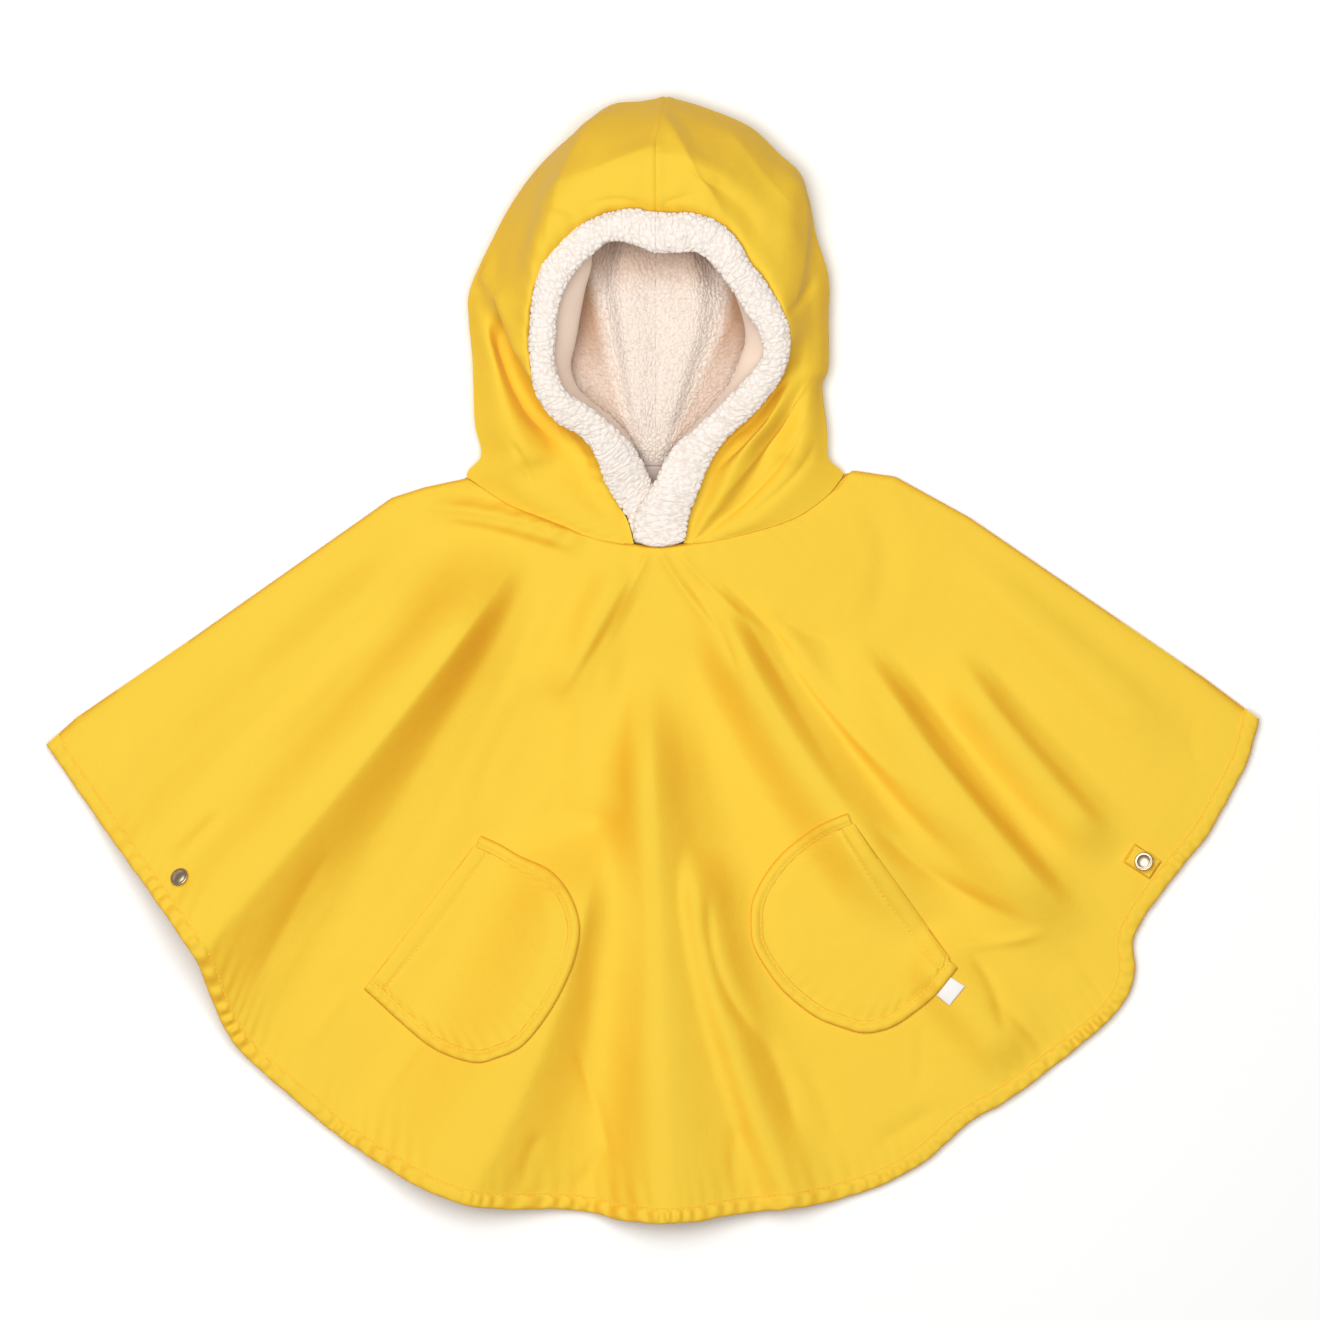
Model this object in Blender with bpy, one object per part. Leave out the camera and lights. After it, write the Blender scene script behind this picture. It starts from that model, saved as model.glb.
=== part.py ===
"""A small child's hooded poncho with a shell of coated cloth and a teddy-lined hood, laid on its back.

The garment lies flat with its face opening up: +X is its left arm's side as one looks down on it,
+Y points to the top of the hood and +Z is up.  Sizes and places are in millimetres, heights are
above the surface that the poncho lies on, and the middle of its whole box is the origin.
"""

import math

import bmesh
import bpy
import numpy as np
from mathutils import Vector
from mathutils.bvhtree import BVHTree

MM = 0.001
SEAM_GAP = 0.3  # between two pieces that are sewn together
HALF_GAP = SEAM_GAP / 2
NECK_SHIFT = 0.24  # the front stands back this far from the line of the neck seam

# Walls.
PANEL_WALL = 3.0  # shell and body lining, sewn as one
HOOD_WALL = 1.5
TEDDY_WALL = 4.0
POCKET_WALL = 1.6
LABEL_WALL = 0.8

# Body panels.
LAYER_BASE = 8.6  # top of the front where it lies on the back
SHOULDER_TOP = 6.4
NECK_RISE = 8.0  # the front neck stands this much higher in the middle than at the shoulders
ROLLED_EDGE = 0.06  # share of the width over which a shoulder rolls up to the base height
LEVEL_FROM, LEVEL_TO = 0.8, 0.97  # share of the length where the hem comes up to it as well
NECK_FADE = 0.35
EDGE_FADE = 0.08
EDGE_THIN_TOP, EDGE_THIN_UNDER = 1.2, 0.4  # the rolled shoulder's own edge is thinner
PANEL_COLUMNS = 56
FRONT_ROWS = 19
FRONT_ROWS_FROM = 0.21
SHOULDER_ROWS = (0.0, 0.089, 0.117, 0.161)  # the shoulder line's own corners
BACK_ROWS = (0.295, 0.6, 1.0)
BACK_INSET = 1.5
BINDING_WIDTH = 11.0
BINDING_WALL = 4.4

# Seam where the hood meets the front, from the left shoulder to the right one.
NECK_SEAM = (
    (-122, 120), (-94, 102), (-61, 88), (-35, 79), (-12, 75), (3, 74),
    (25, 76), (54, 81), (91, 92), (114, 107), (125, 120),
)
SHOULDER_LEFT = ((-122, 120), (-150, 114), (-172, 107), (-304, 14), (-380, -38), (-400, -56))
SHOULDER_RIGHT = ((125, 120), (132, 125), (160, 121), (209, 94), (364, -12), (400, -39))
# Outer edge of the hem: left cuff, left underarm notch, bottom, right notch, right cuff.
HEM = (
    (-400, -56), (-376, -91), (-347, -131), (-319, -170), (-302, -195), (-296, -208),
    (-290, -225), (-281, -245), (-267, -263), (-238, -288), (-206, -315), (-163, -342),
    (-135, -355), (-109, -361), (-69, -362), (-43, -364), (-21, -369), (5, -371),
    (30, -370), (50, -366), (103, -360), (129, -354), (155, -345), (182, -329),
    (208, -306), (235, -290), (261, -271), (287, -250), (303, -236), (314, -220),
    (318, -204), (317, -186), (324, -170), (343, -144), (365, -117), (380, -91),
    (393, -65), (400, -39),
)

# Folds of the front: a ridge along start, middle and end, its height, its widths to the left and
# the right of the crest at the start and at the end, how much the right side falls from an edge
# and not from a round top, and whether it dies out before the end.
FOLDS = (
    # start, middle, end, height, left0, left1, right0, right1, crisp, dies
    ((-136, 82), (-238, -15), (-345, -125), 11.0, 28, 66, 22, 44, 0.4, False),
    ((-84, 76), (-178, -51), (-330, -226), 38.0, 42, 110, 18, 78, 0.8, False),
    ((-62, 66), (-122, -60), (-226, -250), 4.0, 16, 30, 20, 60, 0.0, False),
    ((-10, 68), (-38, 19), (-70, -34), 8.0, 22, 28, 11, 17, 0.7, True),
    ((-30, 50), (-40, -53), (-38, -112), 5.0, 20, 26, 18, 20, 0.0, True),
    ((-36, -100), (-62, -224), (-126, -358), 30.0, 44, 78, 14, 88, 0.7, False),
    ((-5, 4), (3, -158), (12, -369), 27.0, 30, 56, 24, 106, 0.5, False),
    ((54, -120), (66, -215), (106, -320), 10.0, 12, 18, 34, 44, 0.5, False),
    ((38, 56), (95, -55), (196, -182), 19.0, 28, 48, 15, 52, 0.5, True),
    ((71, 50), (134, -46), (216, -130), 5.0, 7, 12, 14, 22, 0.6, True),
    ((128, 18), (200, -82), (288, -186), 19.0, 36, 56, 15, 30, 0.6, True),
    ((170, -180), (205, -222), (250, -270), 10.0, 24, 34, 40, 50, 0.6, True),
    ((190, 13), (249, -63), (308, -132), 13.0, 26, 38, 13, 26, 0.5, True),
    ((200, 82), (276, 13), (352, -62), 8.0, 22, 30, 15, 24, 0.3, True),
    ((-153, 101), (-97, 93), (-40, 74), 6.0, 9, 9, 9, 10, 0.6, True),
)
ROUNDED_CREST = 3.0
FOLD_STEPS = 60
FOLD_RISES_BY = 0.3  # shares of a fold's length
FOLD_DIES_FROM = 0.75

# The hood's two halves.  Each row crosses the half from the face opening to the outline:
# outer edge of the trim, inner edge of the trim, height of the trim's middle, the point on the
# outline and its height, then four heights between them as (share of the way, height).
# Rows with a neck share end on the neck seam instead, at that share of its length.
HOOD_LEFT = (
    # trim_out, trim_in, trim_z, edge, edge_z, a, b, c, d, neck
    ((1.6, 294), (1.2, 267), 72, (9, 371), 21, (0.15, 74), (0.40, 74), (0.65, 62), (0.87, 42), None),
    ((-15, 296), (-12, 272), 72, (-8, 368), 21, (0.15, 74), (0.40, 74), (0.65, 61), (0.87, 41), None),
    ((-35, 292), (-27, 274), 72, (-29, 365), 21, (0.12, 73), (0.35, 72), (0.62, 60), (0.86, 40), None),
    ((-52, 283), (-39, 266), 71, (-54, 345), 21, (0.12, 72), (0.30, 71), (0.50, 64), (0.80, 42), None),
    ((-65, 272), (-49, 256), 69, (-74, 326), 21, (0.12, 70), (0.30, 69), (0.50, 60), (0.80, 38), None),
    ((-73, 261), (-56, 246), 67, (-90, 305), 20, (0.12, 68), (0.28, 66), (0.50, 52), (0.78, 36), None),
    ((-78, 243), (-62, 229), 64, (-103, 282), 20, (0.12, 65), (0.28, 61), (0.50, 48), (0.78, 33), None),
    ((-81, 221), (-63, 214), 60, (-120, 245), 19, (0.12, 61), (0.30, 54), (0.52, 43), (0.75, 28), None),
    ((-81, 199), (-64, 198), 56, (-121, 224), 17, (0.12, 56), (0.28, 47), (0.45, 22), (0.72, 27), None),
    ((-77, 175), (-58, 178), 52, (-119, 203), 16, (0.10, 46), (0.18, 33), (0.36, 17), (0.65, 27), None),
    ((-64, 157), (-45, 169), 46, (-118, 178), 15, (0.08, 30), (0.16, 19), (0.34, 15), (0.65, 28), None),
    ((-48, 147), (-31, 159), 40, (-117, 155), 15, (0.08, 24), (0.16, 16), (0.34, 15), (0.65, 29), None),
    ((-37, 133), (-20, 149), 34, (-113, 135), 13, (0.08, 20), (0.16, 15), (0.34, 17), (0.65, 27), None),
    ((-31, 119), (-10, 135), 27, (-122, 120), 8, (0.08, 17), (0.18, 15), (0.38, 19), (0.68, 20), 0.0),
    ((-23, 106), (-3, 120), 20, (-94, 102), 12, (0.08, 15), (0.20, 15), (0.42, 19), (0.72, 18), 0.124),
    ((-16, 94), (2, 111), 15, (-61, 88), 14, (0.10, 14), (0.25, 15), (0.48, 17), (0.74, 17), 0.258),
    ((-13, 85), (6, 100), 12, (-35, 79), 16, (0.15, 14), (0.35, 15), (0.55, 16), (0.78, 16), 0.361),
    ((-11, 77), (9, 79), 10, (-16, 76), 16, (0.20, 14), (0.40, 15), (0.60, 15), (0.80, 16), 0.433),
)
HOOD_RIGHT = (
    # trim_out, trim_in, trim_z, edge, edge_z, a, b, c, d, neck
    ((2.4, 294), (2.6, 267), 72, (9, 371), 21, (0.15, 74), (0.40, 74), (0.65, 62), (0.87, 42), None),
    ((13, 294), (10, 267), 72, (25, 367), 21, (0.15, 74), (0.37, 73), (0.60, 64), (0.86, 42), None),
    ((25, 294), (18, 267), 72, (45, 360), 22, (0.12, 72), (0.32, 69), (0.52, 68), (0.83, 45), None),
    ((38, 290), (27, 267), 71, (61, 353), 23, (0.12, 70), (0.30, 66), (0.50, 66), (0.82, 46), None),
    ((49, 283), (35, 263), 69, (71, 346), 23, (0.12, 68), (0.30, 64), (0.50, 62), (0.82, 44), None),
    ((57, 274), (42, 255), 68, (84, 333), 23, (0.12, 66), (0.30, 61), (0.52, 58), (0.82, 42), None),
    ((64, 261), (49, 246), 66, (97, 321), 24, (0.12, 64), (0.30, 60), (0.55, 54), (0.82, 42), None),
    ((73, 251), (56, 236), 64, (103, 304), 22, (0.12, 62), (0.32, 57), (0.60, 50), (0.80, 36), None),
    ((82, 236), (63, 224), 61, (108, 279), 20, (0.12, 60), (0.36, 53), (0.60, 41), (0.80, 30), None),
    ((89, 221), (70, 214), 58, (116, 252), 18, (0.12, 56), (0.34, 46), (0.57, 36), (0.80, 28), None),
    ((91, 208), (72, 201), 55, (116, 224), 17, (0.12, 50), (0.34, 41), (0.57, 33), (0.80, 26), None),
    ((87, 190), (66, 191), 51, (116, 193), 16, (0.12, 36), (0.34, 32), (0.57, 30), (0.80, 25), None),
    ((76, 172), (54, 178), 46, (112, 180), 14, (0.12, 24), (0.34, 33), (0.57, 27), (0.80, 24), None),
    ((62, 157), (42, 166), 40, (115, 152), 15, (0.10, 20), (0.28, 34), (0.46, 19), (0.72, 27), None),
    ((46, 143), (28, 152), 34, (116, 133), 13, (0.09, 19), (0.26, 32), (0.43, 17), (0.70, 27), None),
    ((35, 127), (13, 138), 30, (125, 120), 8, (0.08, 18), (0.22, 27), (0.38, 16), (0.66, 22), 1.0),
    ((28, 109), (2, 116), 27, (97, 96), 12, (0.08, 17), (0.22, 22), (0.38, 15), (0.66, 19), 0.86),
    ((23, 96), (-8, 100), 23.5, (68, 84), 14, (0.10, 16), (0.25, 19), (0.42, 15), (0.70, 18), 0.745),
    ((21, 84), (-11, 87), 20.5, (41, 78), 16, (0.15, 15), (0.32, 16), (0.50, 15), (0.75, 16), 0.645),
    ((19, 77), (-11, 76.5), 19.2, (25, 76), 16, (0.20, 15), (0.40, 15), (0.60, 15), (0.80, 16), 0.598),
)
HOOD_ROWS = 27
HOOD_FRONT_COLUMNS = 9
SEAM_X = 2.0  # the centre seam runs straight, then leans towards the peak
SEAM_LEAN = 7.0
SEAM_LEAN_FROM = 340.0
SEAM_LEAN_TO = 371.0
SPINE_TOP = 342.0  # the back seam on the floor, from under the peak to the back neck
BACK_NECK_Y = 129.0
TRIM_TUCK = 3.0  # the shell's edge lies this far in under the trim
TRIM_DROP = 6.0
TRIM_CLEAR = 1.4  # near the point of the V it lies beside the trim instead
TRIM_HALF = 5.0
TRIM_HALF_LOW = 4.2
TRIM_SIDES = 8

# The teddy lining, from the face opening into the hood: under the trim, lower edge of the smooth
# facing, deepest part of the cavity, edge of the raised back, then the centre seam's y and height.
LINING_LEFT = (
    # rim, facing, cavity, back, seam_y, seam_z
    ((0, 269, 62.8), (0, 289, 55), (0, 346, 34), (0, 337, 12), 314, 16),
    ((-12, 273, 62.8), (-14, 294, 55), (-21, 343, 32), (-15, 327, 12), 294, 20),
    ((-25, 275, 62.8), (-29, 290, 54), (-48, 327, 30), (-29, 294, 13), 274, 23),
    ((-37, 270, 61.8), (-41, 277, 53), (-71, 300, 28), (-37, 267, 14), 257, 25),
    ((-48, 260, 61.8), (-42, 258, 44), (-81, 271, 24), (-39, 248, 15), 241, 26),
    ((-56, 248, 60.8), (-45, 244, 40), (-82, 244, 20), (-36, 231, 16), 228, 27),
    ((-63, 231, 57.8), (-48, 226, 36), (-81, 221, 18), (-33, 214, 17), 214, 27),
    ((-65, 213, 53.8), (-51, 209, 33), (-74, 205, 16), (-30, 199, 17), 201, 27),
    ((-65, 196, 49.8), (-54, 194, 30), (-64, 188, 14), (-27, 185, 17), 188, 26),
    ((-60, 178, 45.8), (-50, 180, 27), (-51, 175, 13), (-23, 172, 17), 175, 25),
    ((-47, 168, 40.8), (-40, 170, 25), (-39, 166, 13), (-19, 158, 16), 162, 23),
    ((-33, 158, 34.8), (-27, 160, 22), (-27, 156, 12), (-14, 148, 14), 148, 20),
    ((-21, 147, 28.8), (-17, 149, 18), (-17, 146, 11), (-10, 140, 12), 139, 16),
    ((-12, 137, 21.8), (-10, 137, 14), (-9, 135, 10), (-6, 132, 9.5), 130, 9.5),
)
LINING_RIGHT = (
    # rim, facing, cavity, back, seam_y, seam_z
    ((2, 269, 62.8), (2, 289, 55), (2, 346, 34), (2, 337, 12), 314, 16),
    ((15, 269, 62.8), (17, 292, 55), (25, 343, 33), (18, 327, 12), 294, 20),
    ((28, 269, 62.8), (31, 287, 54), (54, 327, 32), (33, 294, 13), 274, 23),
    ((37, 265, 61.8), (42, 274, 52), (78, 300, 30), (42, 271, 14), 257, 25),
    ((45, 255, 61.8), (49, 260, 48), (87, 271, 26), (47, 251, 15), 241, 26),
    ((53, 245, 60.8), (55, 246, 44), (92, 248, 22), (49, 238, 16), 228, 27),
    ((60, 233, 57.8), (60, 230, 38), (91, 228, 19), (47, 221, 17), 214, 27),
    ((70, 217, 53.8), (61, 211, 34), (81, 208, 16), (41, 207, 17), 201, 27),
    ((74, 201, 49.8), (58, 200, 31), (69, 190, 14), (35, 193, 17), 188, 26),
    ((68, 191, 45.8), (54, 189, 28), (56, 183, 13), (29, 180, 17), 175, 25),
    ((56, 177, 40.8), (47, 177, 26), (46, 173, 13), (24, 168, 16), 162, 23),
    ((41, 162, 34.8), (35, 163, 23), (34, 160, 12), (18, 156, 14), 148, 20),
    ((27, 149, 28.8), (22, 149, 19), (22, 146, 11), (13, 143, 12), 139, 16),
    ((14, 137, 22.8), (11, 136, 15), (10, 134, 10), (8, 132, 9.5), 130, 9.5),
)
LINING_ROWS = 21
LINING_COLUMNS = 9
BACK_CROWN = 3.0  # the raised back swells this much on each side of its seam

# Pockets: the straight mouth's two ends and the curved edge between them.
POCKET_BAND = 8.0
POCKET_BAND_WALL = 3.0
POCKET_LIFT = 0.95
POCKET_STEPS = 29
POCKET_LEFT_EDGE = (
    (-113, -116), (-100, -122), (-88, -129), (-67, -139), (-54, -155), (-48, -174), (-50, -193),
    (-58, -214), (-70, -235), (-86, -254), (-103, -262), (-116, -265), (-133, -261), (-149, -253),
    (-167, -238), (-181, -225), (-190, -217),
)
POCKET_RIGHT_EDGE = (
    (128, -101), (116, -106), (105, -112), (87, -126), (74, -142), (66, -159), (65, -176),
    (67, -189), (76, -205), (88, -220), (107, -235), (124, -242), (140, -246), (158, -242),
    (176, -230), (188, -219), (201, -203),
)
CREST_SAMPLES = (
    # shares of a cell
    (0.5, 0.5), (0.5, 0.0), (0.5, 1.0), (0.0, 0.5), (1.0, 0.5), (0.25, 0.5), (0.75, 0.5),
    (0.25, 1.0), (0.75, 1.0), (0.25, 0.0), (0.75, 0.0),
)
POCKET_LABEL = ((196.5, -209), (206, -215), (195.5, -228), (187, -221))

# Press studs and the small facings they are set in.
STUD_LEFT = (-311, -143)
STUD_RIGHT = (324, -133)
STUD_SEGMENTS = 20
STUD_PROFILE = (
    # radius, height
    (0.0, 0.0), (5.6, 0.0), (6.25, 0.5), (6.1, 1.4), (5.2, 2.0), (2.6, 2.4), (0.0, 2.4),
)
STUD_MATE_PROFILE = ((0.0, 0.0), (6.0, 0.0), (6.0, 1.2), (2.2, 1.4), (0.0, 1.4))
STUD_LEFT_TILT = 0.55  # radians, away from the middle of the garment
STUD_LIFT = 0.4
TAB_LIFT = 0.6
TAB_START = (310, -124.5)
TAB_END = (329.5, -137)
TAB_WIDTH = 14.0
TAB_WALL = 1.0

NECK_LABEL_X = (-6.0, 8.0)
NECK_LABEL_TOP = (129.2, 9.2)
NECK_LABEL_BOTTOM = (118.0, 5.2)
NECK_LINING_WIDTH = 48.0
NECK_LINING_DEPTH = 20.0
NECK_LINING_WALL = 1.5

YELLOW = "F7CC3C"
CREAM = "F0E6DA"
PALE_SATIN = "E9DCCF"
WHITE_TAPE = "F4F1EC"
STEEL = "C9C7C1"


def linear(hex_colour):
    """The linear RGBA of an sRGB hex colour."""
    parts = [int(hex_colour[i : i + 2], 16) / 255 for i in (0, 2, 4)]
    return [c / 12.92 if c <= 0.04045 else ((c + 0.055) / 1.055) ** 2.4 for c in parts] + [1.0]


def finish(name, hex_colour, roughness, metallic=0.0):
    """A plain material of one colour."""
    made = bpy.data.materials.new(name)
    made.use_nodes = True
    shader = made.node_tree.nodes["Principled BSDF"]
    shader.inputs["Base Color"].default_value = linear(hex_colour)
    shader.inputs["Roughness"].default_value = roughness
    shader.inputs["Metallic"].default_value = metallic
    return made


def smooth(x, low=0.0, high=1.0):
    """0 below low, 1 above high, and an even S between them."""
    t = np.clip((np.asarray(x, float) - low) / (high - low), 0, 1)
    return t * t * (3 - 2 * t)


def curve_through(points, shares):
    """Points on a Catmull-Rom curve, at shares of the way counted in rows of the list."""
    p = np.asarray(points, float)
    p = np.concatenate([[2 * p[0] - p[1]], p, [2 * p[-1] - p[-2]]])
    where = np.asarray(shares, float) * (len(p) - 3)
    i = np.minimum(where.astype(int), len(p) - 4)
    t = (where - i).reshape((-1,) + (1,) * (p.ndim - 1))
    a, b, c, d = p[i], p[i + 1], p[i + 2], p[i + 3]
    return 0.5 * (2 * b + (c - a) * t + (2 * a - 5 * b + 4 * c - d) * t**2 + (3 * b - a - 3 * c + d) * t**3)


def along(points, shares):
    """Points on the same curve, at shares of its length."""
    fine = curve_through(points, np.linspace(0, 1, 40 * len(points)))
    steps = np.linalg.norm(np.diff(fine, axis=0), axis=1)
    reach = np.concatenate([[0], np.cumsum(steps)]) / steps.sum()
    return np.stack([np.interp(shares, reach, fine[:, k]) for k in range(fine.shape[1])], axis=-1)


def broken_line(points, shares):
    """Points on a line with corners, at shares of its length."""
    p = np.asarray(points, float)
    steps = np.linalg.norm(np.diff(p, axis=0), axis=1)
    reach = np.concatenate([[0], np.cumsum(steps)]) / steps.sum()
    return np.stack([np.interp(shares, reach, p[:, k]) for k in range(2)], axis=-1)


def left_of(line):
    """Unit vectors square to a plan line, on the left of its direction."""
    run = np.gradient(np.asarray(line, float), axis=0)
    run /= np.linalg.norm(run, axis=1, keepdims=True)
    return np.stack([-run[:, 1], run[:, 0]], axis=-1)


def neck_height(share):
    """Height of the neck seam at a share of its length."""
    return LAYER_BASE + NECK_RISE * np.sin(math.pi * np.clip(share, 0, 1)) ** 0.8


def ridge_profile(x, crisp):
    """How much of a ridge's height is left at x, a share of its width: round on top, or nearly an edge."""
    x = np.clip(x, 0, 1)
    near = np.clip(2 * x, 0, 1)
    steep = 0.5 * (1 - near) ** 2 * (1 + 0.6 * near) + 0.5 * (1 - x) ** 2 * (1 + 0.6 * x)
    return (1 - crisp) * (0.5 + 0.5 * np.cos(math.pi * x)) + crisp * steep


def fold_height(plan):
    """How much the folds raise the front above its base, at plan points."""
    total = np.zeros(plan.shape[:-1])
    for start, middle, end, height, left0, left1, right0, right1, crisp, dies in FOLDS:
        start, middle, end = (np.array(p, float) for p in (start, middle, end))
        steps = np.linspace(0, 1, FOLD_STEPS)[:, None]
        bend = 2 * middle - (start + end) / 2
        line = (1 - steps) ** 2 * start + 2 * steps * (1 - steps) * bend + steps**2 * end
        away = plan[..., None, :] - line
        distance = np.linalg.norm(away, axis=-1)
        near = distance.argmin(axis=-1)
        share = near / (len(line) - 1)
        run = np.gradient(line, axis=0)[near]
        offset = np.take_along_axis(away, near[..., None, None], axis=-2)[..., 0, :]
        side = run[..., 0] * offset[..., 1] - run[..., 1] * offset[..., 0]
        width = np.where(side > 0, right0 + (right1 - right0) * share, left0 + (left1 - left0) * share)
        from_crest = np.sqrt(distance.min(axis=-1) ** 2 + ROUNDED_CREST**2) - ROUNDED_CREST
        bump = ridge_profile(from_crest / width, np.where(side > 0, crisp, 0))
        ends = smooth(share, 0, FOLD_RISES_BY) * (1 - smooth(share, FOLD_DIES_FROM, 1.0) if dies else 1.0)
        total += height * bump * ends
    return total


class Panel:
    """The plan of a body panel: u runs along the neck and the hem, v from the neck to the hem."""

    def __init__(self, u, v, neck, left, right, hem):
        self.u, self.v = u, v
        neck, hem = neck[:, None], hem[:, None]
        left, right = left[None], right[None]
        uu, vv = u[:, None, None], v[None, :, None]
        sides = (1 - uu) * left + uu * right
        ends = (1 - vv) * neck + vv * hem
        corners = (
            (1 - uu) * (1 - vv) * neck[:1] + uu * (1 - vv) * neck[-1:]
            + (1 - uu) * vv * hem[:1] + uu * vv * hem[-1:]
        )
        self.plan = sides + ends - corners


def hem_lines(u):
    """Outer edge of the hem and the way in from it, at shares u."""
    outer = along(HEM, u)
    inward = left_of(along(HEM, np.linspace(0, 1, 241)))
    inward = np.stack([np.interp(u, np.linspace(0, 1, 241), inward[:, k]) for k in range(2)], axis=-1)
    for end, shoulder, weight in (
        (0, SHOULDER_LEFT, 1 - smooth(u, 0, 0.03)),
        (-1, SHOULDER_RIGHT, smooth(u, 0.97, 1)),
    ):
        way = np.subtract(shoulder[-2], shoulder[-1]).astype(float)
        way /= np.linalg.norm(way)
        way /= max(float(way @ inward[end]), 0.5)
        inward = inward * (1 - weight[:, None]) + way * weight[:, None]
    return outer, inward


def panel_columns():
    """Shares across a panel, closer together at the two rolled shoulders."""
    inner = np.linspace(0.022, 0.978, PANEL_COLUMNS - 3)
    return np.concatenate([[0, 0.007], inner, [0.993, 1]])


def front_plan():
    """The front panel's plan, up to its binding."""
    u = panel_columns()
    v = np.concatenate([SHOULDER_ROWS, np.linspace(FRONT_ROWS_FROM, 1, FRONT_ROWS - 2)])
    neck = along(NECK_SEAM, u)
    neck = neck - left_of(neck) * NECK_SHIFT
    outer, inward = hem_lines(u)
    hem = outer + inward * (BINDING_WIDTH + SEAM_GAP)
    left = broken_line(SHOULDER_LEFT[:-1] + (tuple(hem[0]),), v)
    right = broken_line(SHOULDER_RIGHT[:-1] + (tuple(hem[-1]),), v)
    left[0], right[0] = neck[0], neck[-1]
    return Panel(u, v, neck, left, right, hem)


def front_height(plan, u, v):
    """Height of the front's outer face."""
    edge = np.minimum(u, 1 - u)
    rolled = np.maximum(smooth(edge, 0.0, ROLLED_EDGE), smooth(v, LEVEL_FROM, LEVEL_TO))
    base = SHOULDER_TOP + (LAYER_BASE - SHOULDER_TOP) * rolled
    neck = (neck_height(u) - LAYER_BASE) * (1 - smooth(v, 0.0, NECK_FADE))
    return base + neck + fold_height(plan) * smooth(edge, 0.0, EDGE_FADE)


def add_solid(name, points, faces, look):
    """One closed named object from points in millimetres."""
    mesh = bpy.data.meshes.new(name)
    build = bmesh.new()
    corners = [build.verts.new(Vector(p) * MM) for p in points]
    for face in faces:
        build.faces.new([corners[i] for i in face])
    bmesh.ops.recalc_face_normals(build, faces=build.faces)
    if build.calc_volume(signed=True) < 0:
        bmesh.ops.reverse_faces(build, faces=build.faces)
    build.to_mesh(mesh)
    build.free()
    mesh.materials.append(look)
    made = bpy.data.objects.new(name, mesh)
    bpy.context.collection.objects.link(made)
    mesh.shade_smooth()
    mesh.set_sharp_from_angle(angle=math.radians(50))
    return made


def wall_between(name, near, far, look):
    """A closed wall between two grids of points; a cell with a missing corner is left out."""
    rows, columns = near.shape[:2]
    present = ~np.isnan(near[..., 0])
    index = np.full((rows, columns), -1)
    index[present] = np.arange(present.sum())
    points = np.concatenate([near[present], far[present]])
    shift = int(present.sum())
    cells = []
    for i in range(rows - 1):
        for j in range(columns - 1):
            cell = [index[i, j], index[i + 1, j], index[i + 1, j + 1], index[i, j + 1]]
            if min(cell) >= 0:
                cells.append([int(k) for k in cell])
    sides = {}
    for cell in cells:
        for k in range(4):
            a, b = cell[k], cell[(k + 1) % 4]
            if (b, a) in sides:
                del sides[(b, a)]
            else:
                sides[(a, b)] = True
    faces = list(cells)
    faces += [[k + shift for k in reversed(cell)] for cell in cells]
    faces += [[b, a, a + shift, b + shift] for a, b in sides]
    return add_solid(name, points, faces, look)


def grid_normals(grid):
    """Unit normals of a grid of points; missing points stay missing."""
    def slope(axis):
        ahead = np.roll(grid, -1, axis)
        behind = np.roll(grid, 1, axis)
        first = [slice(None)] * 3
        last = [slice(None)] * 3
        first[axis], last[axis] = 0, -1
        ahead[tuple(last)] = grid[tuple(last)]
        behind[tuple(first)] = grid[tuple(first)]
        ahead = np.where(np.isnan(ahead), grid, ahead)
        behind = np.where(np.isnan(behind), grid, behind)
        return ahead - behind

    normal = np.cross(slope(0), slope(1))
    return normal / np.linalg.norm(normal, axis=-1, keepdims=True)


def drop_part(normals, keep):
    """Normals with some of their axes dropped, at unit length again."""
    cut = normals * np.array(keep, float)
    return cut / np.maximum(np.linalg.norm(cut, axis=-1, keepdims=True), 1e-6)


def swept_band(name, stations, look):
    """A closed solid from rings of points, one ring for each station."""
    rings = np.asarray(stations, float)
    count, around = rings.shape[:2]
    faces = [list(range(around)), list(range((count - 1) * around, count * around))[::-1]]
    for i in range(count - 1):
        for k in range(around):
            a, b = i * around + k, i * around + (k + 1) % around
            faces.append([a, a + around, b + around, b])
    return add_solid(name, rings.reshape(-1, 3), faces, look)


def make_front(plan, look):
    """The front panel, whose folds run from the neck to the hem."""
    u = np.broadcast_to(plan.u[:, None], plan.plan.shape[:2])
    v = np.broadcast_to(plan.v[None, :], plan.plan.shape[:2])
    top = front_height(plan.plan, u, v)
    under = top - PANEL_WALL
    at_edge = (u == 0) | (u == 1)
    outer = np.dstack([plan.plan, np.where(at_edge, top - EDGE_THIN_TOP, top)])
    inner = np.dstack([plan.plan, np.where(at_edge, under + EDGE_THIN_UNDER, under)])
    return wall_between("front_panel", outer, inner, look)


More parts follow.
